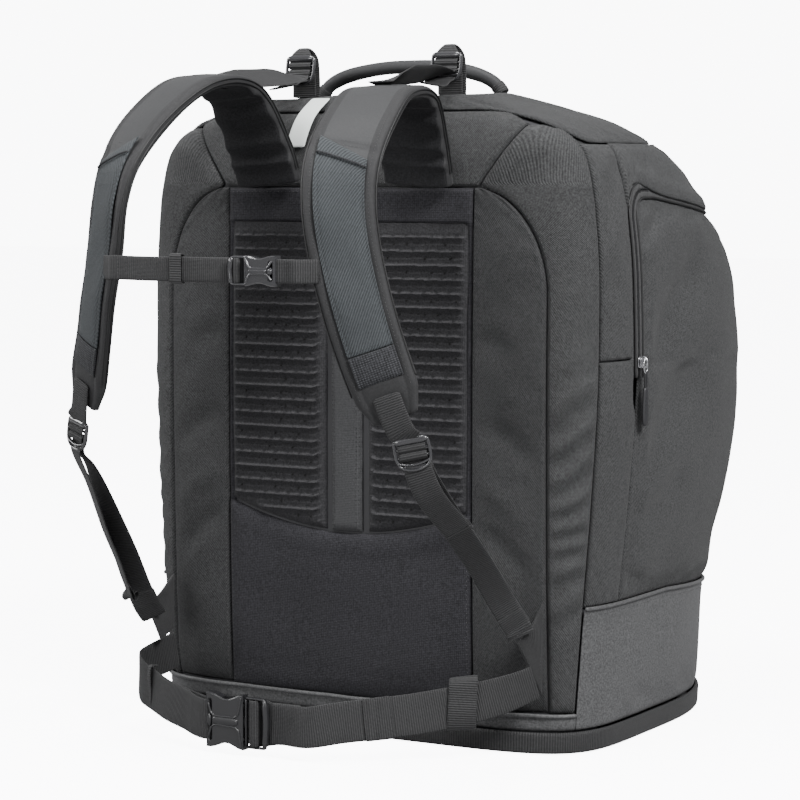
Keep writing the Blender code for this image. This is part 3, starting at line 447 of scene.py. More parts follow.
# ---------------------------------------------------------------- mesh building
class Shape:
    """Collects grids, lofts and stitches, then makes one mesh object of them."""

    def __init__(self, *materials):
        self.materials = materials
        self.points, self.faces, self.kinds, self.uvs, self.count = [], [], [], [], 0

    def add(self, points, faces, kind=0, uv=None):
        points = np.asarray(points, float).reshape(-1, 3)
        self.points.append(points)
        self.uvs.append(np.zeros((len(points), 2)) if uv is None else np.asarray(uv, float).reshape(-1, 2))
        for face in faces:
            self.faces.append([int(k) + self.count for k in face])
            self.kinds.append(kind)
        self.count += len(points)

    def loft(self, rings, kind=0, uv=None, caps=True, closed=False):
        """Closed rings of points joined one to the next."""
        rows, cols = rings.shape[:2]
        index = np.arange(rows * cols).reshape(rows, cols)
        after = np.roll(index, -1, axis=1)
        low, high = (index, np.roll(index, -1, axis=0)) if closed else (index[:-1], index[1:])
        low_next, high_next = (after, np.roll(after, -1, axis=0)) if closed else (after[:-1], after[1:])
        faces = np.stack([low, low_next, high_next, high], -1).reshape(-1, 4).tolist()
        if caps and not closed:
            faces += [index[0][::-1].tolist(), index[-1].tolist()]
        self.add(rings, faces, kind, uv)

    def shell(self, outer, inner, uv, kind=0, inner_kind=None):
        """A closed sheet between two grids."""
        index, quads = cells(*outer.shape[:2])
        size = index.size
        rim = np.concatenate([index[0, :], index[1:, -1], index[-1, -2::-1], index[-2:0:-1, 0]])
        around = np.roll(rim, -1)
        edge = np.stack([rim, rim + size, around + size, around], -1)
        faces = np.concatenate([quads, edge]).tolist()
        self.add(np.concatenate([outer.reshape(-1, 3), inner.reshape(-1, 3)]), faces, kind,
                 np.concatenate([uv.reshape(-1, 2)] * 2))
        under = (quads[:, ::-1] + self.count - size).tolist()
        self.faces += under
        self.kinds += [kind if inner_kind is None else inner_kind] * len(under)

    def stitches(self, line, normals, kind=1, pitch=0.0042, length=0.003, width=0.001, height=0.0007):
        """Small raised threads along a line."""
        line, normals = np.asarray(line, float), np.asarray(normals, float)
        run = run_of(line)
        count = int(run[-1] / pitch)
        if count < 1:
            return
        places = (np.arange(count) + 0.5) * run[-1] / count
        ends = [np.stack([np.interp(places + d, run, line[:, k]) for k in range(3)], -1)
                for d in (-length / 2, 0, length / 2)]
        up = unit(np.stack([np.interp(places, run, normals[:, k]) for k in range(3)], -1))
        along = unit(ends[2] - ends[0])
        side = np.cross(along, up)
        middle = ends[1]
        corners = np.stack([middle - along * length / 2, middle + side * width / 2 + up * height * 0.3,
                            middle + along * length / 2, middle - side * width / 2 + up * height * 0.3,
                            middle + up * height, middle - up * height * 0.6], 1)
        pattern = np.array([(0, 1, 4), (1, 2, 4), (2, 3, 4), (3, 0, 4), (1, 0, 5), (2, 1, 5), (3, 2, 5),
                            (0, 3, 5)])
        faces = (pattern[None] + 6 * np.arange(count)[:, None, None]).reshape(-1, 3).tolist()
        self.add(corners, faces, kind)

    def tube(self, line, radius, kind=0, sides=8, closed=False):
        """A round cord along a line."""
        line = np.asarray(line, float)
        along = directions(line, closed)
        first = unit(np.cross(along, np.where(np.abs(along[:, 2:3]) > 0.9, (1.0, 0, 0), (0, 0, 1.0))))
        second = np.cross(along, first)
        turns = circle(sides)
        ring = (first[:, None] * np.cos(turns)[None, :, None]
                + second[:, None] * np.sin(turns)[None, :, None])
        radius = np.broadcast_to(radius, len(line))
        run = run_of(line)
        uv = np.stack(np.broadcast_arrays(turns[None, :] * radius[:, None], run[:, None]), -1)
        self.loft(line[:, None] + ring * radius[:, None, None], kind, uv, True, closed)

    def mirror(self):
        self.points = [p * np.array((-1, 1, 1)) for p in self.points]
        self.faces = [f[::-1] for f in self.faces]

    def build(self, name, subdivide=1, side=1):
        if side < 0:
            self.mirror()
        mesh = bpy.data.meshes.new(name)
        points = np.concatenate(self.points)
        mesh.from_pydata(points.tolist(), [], self.faces)
        layer = mesh.uv_layers.new(name="UVMap")
        corners = np.zeros(len(mesh.loops), np.int32)
        mesh.loops.foreach_get("vertex_index", corners)
        layer.data.foreach_set("uv", np.concatenate(self.uvs)[corners].astype(np.float32).ravel())
        for key in self.materials:
            mesh.materials.append(M[key])
        mesh.polygons.foreach_set("material_index", np.array(self.kinds, np.int32))
        mesh.polygons.foreach_set("use_smooth", np.full(len(self.faces), True))
        bm = bmesh.new()
        bm.from_mesh(mesh)
        bmesh.ops.recalc_face_normals(bm, faces=bm.faces)
        bm.to_mesh(mesh)
        bm.free()
        obj = bpy.data.objects.new(name, mesh)
        bpy.context.scene.collection.objects.link(obj)
        if subdivide:
            soften(obj, subdivide)
        return obj


def soften(obj, levels):
    modifier = obj.modifiers.new("smooth", "SUBSURF")
    modifier.levels = levels
    modifier.render_levels = levels


def directions(line, closed=False):
    if closed:
        return unit(np.roll(line, -1, axis=0) - np.roll(line, 1, axis=0))
    padded = np.concatenate([2 * line[:1] - line[1:2], line, 2 * line[-1:] - line[-2:-1]])
    return unit(padded[2:] - padded[:-2])


def curve_through(points, steps):
    """A smooth curve through the given points, `steps` to each span."""
    points = np.asarray(points, float)
    ends = np.concatenate([2 * points[:1] - points[1:2], points, 2 * points[-1:] - points[-2:-1]])
    made = []
    for i in range(1, len(ends) - 2):
        a, b, c, d = ends[i - 1 : i + 3]
        t = (np.arange(steps) / steps)[:, None]
        made.append(0.5 * (2 * b + (c - a) * t + (2 * a - 5 * b + 4 * c - d) * t**2
                           + (3 * b - a - 3 * c + d) * t**3))
    return np.concatenate([*made, points[-1:]])


def bridge(obj, slot, nodes, bodies, start, end):
    """A piece that crosses the joint between two bodies: hides the CAD parts it stands for and bakes its
    placement into its mesh.
    """
    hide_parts(*nodes)
    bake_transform(obj)


def attach(obj, body, slot, *nodes):
    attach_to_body(obj, body)
    if nodes:
        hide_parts(*nodes)


# ---------------------------------------------------------------- case panels
def steps(width, cell, edge=0.01):
    """Fractions across a panel: about one cell apart, closer together at both edges."""
    near = [d / width for d in (0, 0.001, 0.0024, 0.0044, 0.007)]
    inner = np.linspace(edge / width, 1 - edge / width, max(int(round(width / cell)), 3))
    return np.concatenate([near, inner, 1 - np.array(near[::-1])])


def metric(points):
    """Distances in metres from the left edge and from the bottom edge of a grid of points."""
    across = np.linalg.norm(np.diff(points, axis=1), axis=-1)
    up = np.linalg.norm(np.diff(points, axis=0), axis=-1)
    u = np.concatenate([np.zeros((len(points), 1)), np.cumsum(across, axis=1)], 1)
    v = np.concatenate([np.zeros((1, points.shape[1])), np.cumsum(up, axis=0)], 0)
    return u, v


def edge_distance(u, v, open_edges=""):
    far = np.full(u.shape, 1.0)
    for key, distance in (("l", u), ("r", u[:, -1:] - u), ("b", v), ("t", v[-1:] - v)):
        if key not in open_edges:
            far = np.minimum(far, distance)
    return far


def padded(u, v, seed, puff=0.002, wrinkle=0.0012, size=0.11, roll=0.0013, pucker=0.0004, open_edges="",
           ramp=0.03):
    """Lift of a stuffed panel: rolled in at its seams, full in between, softly uneven."""
    edge = edge_distance(u, v, open_edges)
    lift = puff * (1 - np.exp(-edge / ramp)) - roll * (1 - np.minimum(edge / 0.0032, 1)) ** 2
    lift += wrinkle * waves(u, v, seed, size) * ease(edge / 0.035)
    lift += wrinkle * 0.35 * waves(u, v, seed + 50, size * 0.3) * ease(edge / 0.03)
    gathers = np.sin((u + v) * 2 * math.pi / 0.013 + 3 * waves(u, v, seed + 9, 0.08))
    return lift + pucker * gathers * bell(edge - 0.007, 0.006)


def line_inside(points, normals, u, v, edge, offset):
    """The line on a panel that runs at a distance from one of its edges, and its normals."""
    if edge in "tb":
        points, normals, u = points.swapaxes(0, 1), normals.swapaxes(0, 1), v.T
    rows = []
    for p, n, d in zip(points, normals, u):
        place = offset if edge in "lb" else d[-1] - offset
        rows.append([np.interp(place, d, c) for c in (*p.T, *n.T)])
    rows = np.array(rows)
    return rows[:, :3], rows[:, 3:]


def seams_at(edges):
    return tuple((edge, SEAM_INSET) for edge in edges)


def case_panel(name, place, s, t, lift, thick=0.0016, base=0.0, materials=("fabric", "thread"), seams=(),
               side=1,
               drape=None, extra=None, subdivide=1):
    """A sewn panel on the case. place(s, t) gives heading and height; lift(u, v) its own relief."""
    grid_s, grid_t = np.meshgrid(s, t)
    heading, z = place(grid_s, grid_t)
    normals = normal_at(heading, z)
    flat = on_case(heading, z)
    u, v = metric(flat)
    points = flat + normals * (base + lift(u, v))[..., None]
    if drape:
        points = drape(points, u, v)
    shape = Shape(*materials)
    shape.shell(points, points - normals * thick, np.stack([u, v], -1))
    for edge, offset in seams:
        line, ups = line_inside(points, normals, u, v, edge, offset)
        shape.stitches(line, ups)
    if extra:
        extra(shape, points, normals, u, v)
    return shape.build(name, subdivide, side)


def inflate(points, u, v, pressure=4.0, cap=0.004, shrink=-0.02, frames=20):
    """Lets a panel settle as cloth under a little pressure, its edges held."""
    quads = cells(*points.shape[:2])[1]
    mesh = bpy.data.meshes.new("draping")
    mesh.from_pydata(points.reshape(-1, 3).tolist(), [], quads.tolist())
    obj = bpy.data.objects.new("draping", mesh)
    bpy.context.scene.collection.objects.link(obj)
    held = obj.vertex_groups.new(name="held")
    edge = edge_distance(u, v).ravel()
    for k, weight in enumerate(1 - ease(edge / 0.012)):
        if weight > 0.01:
            held.add([k], float(weight), "REPLACE")
    cloth = obj.modifiers.new("cloth", "CLOTH")
    settings = cloth.settings
    settings.vertex_group_mass = "held"
    settings.quality = 5
    settings.mass = 0.25
    settings.tension_stiffness = settings.compression_stiffness = 12
    settings.shear_stiffness = 5
    settings.bending_stiffness = 0.6
    settings.use_pressure = True
    settings.uniform_pressure_force = pressure
    settings.shrink_min = shrink
    settings.effector_weights.gravity = 0
    cloth.collision_settings.use_collision = False
    cloth.point_cache.frame_start, cloth.point_cache.frame_end = 1, frames
    for number in range(1, frames + 1):
        bpy.context.scene.frame_set(number)
    graph = bpy.context.evaluated_depsgraph_get()
    settled = np.array([p.co for p in obj.evaluated_get(graph).data.vertices], float).reshape(points.shape)
    bpy.data.objects.remove(obj, do_unlink=True)
    bpy.context.scene.frame_set(1)
    move = settled - points
    size = np.linalg.norm(move, axis=-1, keepdims=True)
    if not np.isfinite(size).all():
        return points
    capped = move * np.minimum(1, cap / np.maximum(size, 1e-9))
    return points + capped * ease(edge / 0.012).reshape(*points.shape[:2], 1)


def dots(shape, points, normals, radius, kind=1):
    """Small round marks lying on a surface; with the eyelet material they are near-black painted shade in
    place of holes.
    """
    for p, n in zip(points, normals):
        side = unit(np.cross(n, np.array((0.3, 0.1, 1.0))))
        other = np.cross(n, side)
        turns = circle(8)
        ring = p + side * (np.cos(turns) * radius)[:, None] + other * (np.sin(turns) * radius)[:, None]
        shape.loft(np.stack([ring - n * 0.0006, ring + n * 0.00015]), kind)


ROW_PITCH, DASH_PITCH = 0.0129, 0.0133


def row_phase(u, v):
    """Row number and place within it; the rows hook upward beside the spine."""
    hook = 0.007 * ease((0.014 - u) / 0.014) ** 1.6
    row = (v[-1:] - v + hook) / ROW_PITCH
    return np.floor(row + 0.5), row - np.floor(row + 0.5)


def ridge_line(u, v):
    """The raised line of each row, from 0 to 1: one whole line, then two broken ones."""
    number, phase = row_phase(u, v)
    dash = 0.5 + 0.5 * np.tanh(6 * (np.cos(2 * math.pi * (u / DASH_PITCH + 0.37 * number)) + 0.62))
    return bell(phase, 0.085) * np.where(number % 3 == 0, 1.0, dash)


def ridges(u, v):
    """Rows like shingles, each with its raised line along the top."""
    phase = row_phase(u, v)[1]
    shingle = 0.003 * np.where(phase < 0, -phase, 1 - np.minimum(phase / 0.5, 1)) ** 1.5
    return shingle + 0.0016 * ridge_line(u, v)


def back_centre():
    """Mesh-faced back: the base band, two ridged pads, the spine strip and the lumbar pad."""
    def band(s, t):
        z = mix(STRIP_TOP + 0.0006, BACK_SEAM_Z - 0.0006, t)
        return heading_of_x(z, mix(-CENTRE_X, CENTRE_X, s)), z

    def band_lift(u, v):
        z, x = STRIP_TOP + v, np.abs(u - u[:, -1:] / 2)
        edge = edge_distance(u, v)
        sunk = -0.0075 + 0.0065 * ease((x - 0.122) / 0.008)
        lift = mix(sunk, 0.0004, ease((z - PAD_TOP + 0.002) / 0.002))
        return lift - 0.002 * (1 - np.minimum(edge / 0.005, 1)) ** 2 + 0.0004 * waves(u, v, 5, 0.05)

    heights = np.concatenate([np.linspace(0, 0.91, 30), np.linspace(0.915, 1, 22)])
    band_piece = case_panel("back_panel_mesh", band, steps(2 * CENTRE_X, 0.006), heights, band_lift,
                            materials=("back_mesh", "thread"), seams=(("t", 0.004),))
    attach(band_piece, "case", "back_mesh", "back_panel")

    def pad(s, t):
        x = mix(PAD_INNER_X, PAD_FACE_X, s)
        z = mix(pad_low(x) + 0.0006, PAD_TOP, t)
        return heading_of_x(z, x), z

    def pad_lift(u, v):
        edge = edge_distance(u, v)
        roll = np.sqrt(np.maximum(1 - (1 - np.minimum(edge_distance(u, v, "t") / 0.008, 1)) ** 2, 0))
        border = ease((edge - 0.0035) / 0.005) * ease((v[-1:] - v - 0.006) / 0.004)
        return -0.007 + 0.0068 * roll + ridges(u, v) * border + 0.0005 * waves(u, v, 31, 0.07)

    def holes(shape, points, normals, u, v):
        """Painted highlight: lighter faces along the raised lines. Painted shade: a near-black eyelet
        between each two broken ones.
        """
        number, phase = row_phase(u, v)
        # painted highlight: faces on the raised lines take the lighter ridge material
        painted_highlight_faces = (ridge_line(u, v) > 0.5) & (edge_distance(u, v) > 0.007)
        for face in np.nonzero(painted_highlight_faces[:-1, :-1].ravel())[0]:
            shape.kinds[face] = 2
        near = np.abs(np.abs(phase) - 0.5) < 0.035
        column = np.abs((u / DASH_PITCH) % 1 - np.where(number % 2 == 0, 0.25, 0.75)) < 0.045
        chosen, seen = [], set()
        for r, c in zip(*np.nonzero(near & column & (edge_distance(u, v) > 0.008))):
            cell = (round(v[r, c] / ROW_PITCH + 0.5), round(u[r, c] / DASH_PITCH))
            if cell not in seen:
                seen.add(cell)
                chosen.append((r, c))
        rows, cols = np.array(chosen).T
        # painted shade: near-black discs where the pad's small holes are
        dots(shape, points[rows, cols], normals[rows, cols], 0.0012)

    edge = np.array([0, 0.0005, 0.0014, 0.0026, 0.004, 0.0056, 0.0074])
    width, tall = PAD_FACE_X - PAD_INNER_X, PAD_TOP - PAD_LOW - 0.004
    s = np.concatenate([edge / width, np.linspace(0.0092, width - 0.0092, 66) / width,
                        1 - edge[::-1] / width])
    t = np.concatenate([edge / tall, np.linspace(0.0088, tall - 0.0088, 300) / tall, 1 - edge[::-1] / tall])
    for name, side in SIDES:
        # the ridge material paints highlight on the raised lines, and the hole material paints shade in the
        # eyelets
        made = case_panel(f"back_pad_ridged_{name}", pad, s, t, pad_lift, 0.003,
                          materials=("pad", "hole", "ridge", "thread"),
                          side=side, subdivide=0, extra=holes)
        attach(made, "case", "pad_foam", f"back_pad_{name}")

    def spine(s, t):
        z = mix(PAD_LOW + 0.001, PAD_TOP + 0.003, t)
        return heading_of_x(z, mix(-SPINE_FACE_X, SPINE_FACE_X, s)), z

    def spine_lift(u, v):
        edge = edge_distance(u, v)
        crown = 0.0034 * ease(edge / 0.004)
        return -0.0022 + crown + 0.0006 * waves(u, v, 77, 0.06) - 0.0006 * bell(edge - 0.0035, 0.001)

    made = case_panel("spine_webbing", spine, steps(2 * SPINE_FACE_X, 0.004, 0.009), np.linspace(0, 1, 90),
                      spine_lift, 0.0018,
                      materials=("spine", "dark_thread"),
                      seams=(("l", 0.0022), ("l", 0.0046), ("r", 0.0022), ("r", 0.0046)))
    attach(made, "case", "pack_fabric", "spine_strip")

    def lumbar(s, t):
        x = mix(-CENTRE_X, CENTRE_X, s)
        z = mix(STRIP_TOP + 0.0006, pad_low(x) - 0.0006, t)
        return heading_of_x(z, x), z

    def lumbar_lift(u, v):
        edge = edge_distance(u, v)
        roll = np.sqrt(np.maximum(1 - (1 - np.minimum(edge / 0.012, 1)) ** 2, 0))
        swell = 0.0014 * waves(u, v, 61, 0.12) * ease(edge / 0.03)
        return -0.0035 + 0.005 * roll + swell + 0.0006 * bell(edge - 0.016, 0.004)

    made = case_panel("lumbar_mesh_pad", lumbar, steps(2 * CENTRE_X, 0.006), steps(0.16, 0.006),
                      lumbar_lift, 0.003,
                      materials=("back_mesh", "thread"), seams=(("l", 0.004), ("r", 0.004)))
    attach(made, "case", "back_mesh", "lumbar_pad")


RUCKS = {"right": 0.0024, "left": 0.0008}


def back_sides():
    """Padded wings beside the mesh, the corner gussets and the smooth yoke."""
    def wing(s, t):
        z = mix(STRIP_TOP + 0.0006, BACK_SEAM_Z - 0.0006, np.sin(t * math.pi / 2) ** 0.75)
        edge = np.maximum(wing_x(z) - HALF_GAP, CENTRE_X + 0.0044)
        return heading_of_x(z, mix(CENTRE_X + HALF_GAP, edge, s)), z

    def wing_lift(u, v):
        slack = folds(u, v, ((0.0, 0.175), (0.062, 0.12), 0.009, -0.0044),
                      ((0.0, 0.215), (0.066, 0.165), 0.01, 0.003),
                      ((0.004, 0.27), (0.066, 0.225), 0.01, -0.0036),
                      ((0.0, 0.345), (0.05, 0.325), 0.01, -0.0026))
        return padded(u, v, 21, 0.003, 0.0009, 0.08, 0.003, 0.0004) + slack

    def gusset(s, t):
        z = mix(STRIP_TOP + 0.0006, SHOULDER_SEAM_Z + 0.018, t)
        inner = np.where(z < BACK_SEAM_Z, np.maximum(wing_x(z), CENTRE_X + 0.0046), yoke_x(z))
        start = heading_of_x(z, inner + HALF_GAP)
        heading = mix(start, heading_of_y(z, gusset_y(z) - HALF_GAP), s)
        return heading, np.minimum(z, seam_height(right_heading(heading)) - 0.0008)

    def gusset_lift(u, v, rucks):
        edge = edge_distance(u, v)
        slack = (rucks * np.sin((v - 0.45 * u) * 2 * math.pi / 0.027 + 2.4 * waves(u, v, 8, 0.1))
                 * ease(edge / 0.01) * ease((0.33 - v) / 0.05) * ease((v - 0.05) / 0.05))
        return padded(u, v, 22, 0.0024, 0.0008, 0.06, 0.0028, 0.0005, ramp=0.012) + slack

    for name, side in SIDES:
        made = case_panel(f"padded_wing_{name}", wing, steps(0.0725, 0.005), np.linspace(0, 1, 92),
                          wing_lift, 0.004,
                          materials=("wing", "light_thread"), seams=(("l", 0.003), ("r", SEAM_INSET)),
                          side=side)
        attach(made, "case", "pack_fabric", f"back_wing_{name}")
        rucks = RUCKS[name]
        made = case_panel(f"gusset_panel_{name}", gusset, steps(0.055, 0.005), np.linspace(0, 1, 110),
                          lambda u, v: gusset_lift(u, v, rucks), seams=seams_at("lr"), side=side)
        attach(made, "case", "pack_fabric", f"corner_gusset_{name}")

    def yoke(s, t):
        share = 2 * s - 1
        shoulder = heading_of_x(YOKE_TOP, share * (yoke_x(YOKE_TOP) - HALF_GAP))
        z = mix(BACK_SEAM_Z + 0.0005, seam_height(right_heading(shoulder)) - 0.001, t)
        return heading_of_x(z, share * (yoke_x(z) - HALF_GAP)), z

    def yoke_lift(u, v):
        pleats = sum(fold(u, v, (x, 0.004), (x + dx, 0.056), 0.0055, height)
                     for x, dx, height in ((0.205, 0.016, 0.0022), (0.217, 0.02, -0.002),
                                           (0.229, 0.026, 0.0022),
                                           (0.243, 0.03, -0.0018), (0.06, -0.018, 0.002),
                                           (0.073, -0.012, -0.0018)))
        return padded(u, v, 41, 0.0016, 0.001, 0.08, 0.0024) + pleats

    made = case_panel("yoke_panel", yoke, steps(0.3, 0.006), steps(0.075, 0.005), yoke_lift,
                      seams=seams_at("btlr"))
    attach(made, "case", "strap_fabric", "shoulder_yoke")


def side_panels():
    """A textured upper and a smoother lower panel on each side."""
    def side(s, z):
        return mix(heading_of_y(z, gusset_y(z) + HALF_GAP), heading_of_y(z, side_front_y(z)), s), z

    def lower(s, t):
        return side(s, mix(TUB_SIDE_TOP + 0.0006, SIDE_SEAM_Z - HALF_GAP, t))

    def upper(s, t):
        return side(s, mix(SIDE_SEAM_Z + HALF_GAP, SHOULDER_SEAM_Z - 0.0006, t))

    def lower_lift(u, v):
        slack = folds(u, v, ((0.002, 0.12), (0.054, 0.175), 0.01, -0.0022),
                      ((0.004, 0.04), (0.05, 0.085), 0.01, -0.0016))
        return padded(u, v, 51, 0.0022, 0.0008, 0.07, 0.0026, 0.0005, ramp=0.015) + slack

    def upper_lift(u, v):
        slack = folds(u, v, ((0.002, 0.05), (0.058, 0.11), 0.01, -0.0026),
                      ((0.002, 0.085), (0.056, 0.15), 0.01, 0.002),
                      ((0.004, 0.135), (0.056, 0.185), 0.009, -0.0022))
        return padded(u, v, 52, 0.0022, 0.0009, 0.07, 0.0026, 0.0006, ramp=0.015) + slack

    for name, hand in SIDES:
        made = case_panel(f"side_lower_{name}", lower, steps(0.06, 0.005), steps(0.225, 0.006), lower_lift,
                          seams=seams_at("lrt"), side=hand)
        attach(made, "case", "pack_fabric", f"side_panel_lower_{name}")
        made = case_panel(f"side_upper_{name}", upper, steps(0.062, 0.005), steps(0.2, 0.006), upper_lift,
                          seams=seams_at("lb"), side=hand)
        attach(made, "case", "pack_fabric", f"side_panel_upper_{name}")


HINGE_START, HINGE_END = (0.0, 0.29, 0.336), (0.0, 0.29, 0.362)


def front():
    """The lower front and the zipped flap are one cloth that runs across the hinge."""
    columns = spread(np.linspace(0, 1, 112))
    rows = np.linspace(0, 1, 34)
    t = np.concatenate([rows, 1 + rows[1:]])

    def cloth(s, t):
        rest = front_heading(s, ZIP_ARCH_Z, ZIP_Y + ZIP_HALF)
        top = arch_edge(right_heading(rest), -ZIP_HALF)
        low = tub_top(right_heading(mix(-30, 210, s))) + 0.0006
        z = np.where(t <= 1, mix(low, ZIP_BOTTOM_Z, np.minimum(t, 1)),
                     mix(ZIP_BOTTOM_Z, top, np.maximum(t - 1, 0)))
        first = np.where(z < ZIP_BOTTOM_Z + 0.001, front_seam_y(z) + HALF_GAP, ZIP_Y + ZIP_HALF)
        return front_heading(s, z, first), z

    def lift(u, v):
        near = np.minimum(u, u[:, -1:] - u)
        dents = folds(near, v, ((0.004, 0.205), (0.165, 0.335), 0.022, -0.0092),
                      ((0.004, 0.105), (0.17, 0.235), 0.024, -0.0086),
                      ((0.0, 0.05), (0.13, 0.12), 0.018, -0.0045))
        return padded(u, v, 71, 0.003, 0.0012, 0.16, 0.0013, 0.0005) + dents

    made = case_panel("front_fabric", cloth, columns, t, lift, seams=seams_at("lrtb"),
                      drape=inflate)
    bridge(made, "pack_fabric", ("front_flap", "front_lower_panel"), ("case", "flap"), HINGE_START,
           HINGE_END)

    def band(s, t):
        rest = front_heading(s, ZIP_ARCH_Z, ZIP_Y - ZIP_HALF + HALF_GAP)
        cover = ease((np.minimum(s, 1 - s) - 0.02) / 0.1)
        low = mix(arch_edge(right_heading(rest), ZIP_HALF),
                  arch_edge(right_heading(rest), 0.003 - ZIP_HALF), cover)
        z = mix(low, SHOULDER_SEAM_Z + 0.0001, t)
        return front_heading(s, z, ZIP_Y - ZIP_HALF + HALF_GAP), z

    def band_lift(u, v):
        ruck = 0.001 * np.sin(u * 2 * math.pi / 0.024 + 2 * waves(u, v, 14, 0.1)) * bell(v - 0.016, 0.012)
        hood = 0.0034 * (1 - ease((v - 0.01) / 0.014)) * ease((np.minimum(u, u[:, -1:] - u) - 0.02) / 0.05)
        return padded(u, v, 72, 0.002, 0.0012, 0.09, 0.0012, 0.0007, ramp=0.012) + ruck + hood

    made = case_panel("front_upper_band", band, columns, steps(0.045, 0.006, 0.009), band_lift,
                      seams=seams_at("tb"))
    attach(made, "case", "pack_fabric", "front_band")


def top():
    """The crown: one dome of cloth, gathered a little along its seam."""
    count, rows = 200, 30
    turn = np.arange(count) / count * 360 - 90
    crown = np.array((0, CASE[-1, 4], CASE[-1, 0] + CROWN_RISE))
    share = np.concatenate([[0, 0.02, 0.05, 0.1], np.linspace(0.17, 1, rows - 4)])
    low = seam_height(right_heading(turn)) + 0.0006
    rings, ups = [], []
    for t in share:
        z = mix(low, CASE[-1, 0], t)
        rings.append(on_case(turn, z))
        ups.append(normal_at(turn, z))
    rim = rings[-1]
    for t in np.linspace(0, 0.992, 16)[1:]:
        rings.append(mix(rim, crown, t))
        ups.append(unit(mix(ups[rows - 1], np.array((0, 0, 1.0)), ease(t * 2.5))))
    rings, ups = np.array(rings), np.array(ups)
    run = np.concatenate([[np.zeros(count)],
                          np.cumsum(np.linalg.norm(np.diff(rings, axis=0), axis=-1), axis=0)])
    x, y = rings[..., 0], rings[..., 1]
    around = np.radians(turn)[None] * 0.2 + run * 0
    lift = -0.001 * (1 - np.minimum(run / 0.003, 1)) ** 2 + 0.0014 * (1 - np.exp(-run / 0.02))
    lift += 0.0016 * waves(x, y, 91, 0.1) * ease(run / 0.03)
    lift += 0.001 * np.sin(np.radians(turn)[None] * 34 + 2 * waves(x, y, 92, 0.1)) * bell(run - 0.012, 0.01)
    lift += folds(x, y, ((0.1, -0.15), (0.2, -0.06), 0.01, 0.0025),
                  ((-0.11, -0.16), (-0.18, -0.05), 0.012, -0.002),
                  ((-0.02, -0.14), (0.06, -0.02), 0.014, -0.0018))
    points = rings + ups * lift[..., None]
    inner = points - ups * 0.0016
    uv = np.stack([around, run], -1)
    shape = Shape("fabric", "thread")
    shape.loft(np.concatenate([points, inner[::-1]]), 0, np.concatenate([uv, uv[::-1]]), False, True)
    for offset in (SEAM_INSET, 0.0075):
        line, normals = line_inside(points, ups, around, run, "b", offset)
        shape.stitches(np.concatenate([line, line[:1]]), np.concatenate([normals, normals[:1]]))
    attach(shape.build("crown_panel"), "case", "pack_fabric", "top_panel")


LINING_LOW, LINING_END_Y = 0.008, -0.145
LINING_FACE, LINING_BACK = -0.0046, -0.0056


def lining():
    """A narrow facing sewn behind the crown seam, and a thin board that lines the case."""
    turn = np.arange(180) * 2.0 - 90
    middle = seam_height(right_heading(turn))
    profile = [(-0.011, -0.003), (0.012, -0.003), (0.012, -0.0046), (-0.011, -0.0046)]
    rings = np.stack([skin(turn, middle + dz, np.full(turn.shape, lift)) for dz, lift in profile], 1)
    run = np.radians(turn) * 0.22
    uv = np.stack(np.broadcast_arrays(run[:, None], np.array([p[0] for p in profile])[None]), -1)
    shape = Shape("fabric")
    shape.loft(rings, 0, uv, False, True)
    attach(shape.build("crown_seam_facing", 0), "case", "pack_fabric")

    around, up = np.meshgrid(np.linspace(0, 1, 90), np.linspace(0, 1, 50))
    z = mix(LINING_LOW, YOKE_TOP, up)
    end = heading_of_y(z, np.full(z.shape, LINING_END_Y))
    turn = mix(-180 - end, end, around)
    z = mix(LINING_LOW, seam_height(right_heading(turn)), up)
    face, back = (skin(turn, z, np.full(z.shape, lift)) for lift in (LINING_FACE, LINING_BACK))
    shape = Shape("board")
    shape.shell(face, back, np.stack(metric(on_case(turn, z)), -1))
    attach(shape.build("case_lining", 0), "case", "pack_fabric")


LABEL_LOW, LABEL_TALL, LABEL_HALF = 0.553, 0.0445, 0.0105


def hang_tag():
    """A small blank label that leans from the crown seam between the straps."""
    shape = Shape("label")
    rows = []
    for share in np.linspace(0, 1, 14):
        z = LABEL_LOW + LABEL_TALL * share
        xs = mix(-0.0575, -0.045, share) + np.linspace(-LABEL_HALF, LABEL_HALF, 6)
        lift = 0.0042 + 0.0016 * math.sin(share * math.pi)
        rows.append(skin(heading_of_x(np.full(6, z), xs), np.full(6, z), np.full(6, lift)))
    outer = np.array(rows)
    u, v = metric(outer)
    shape.shell(outer, outer + np.array((0, 0.001, 0)), np.stack([u, v], -1))
    attach(shape.build("blank_label"), "case", "label", "care_label")


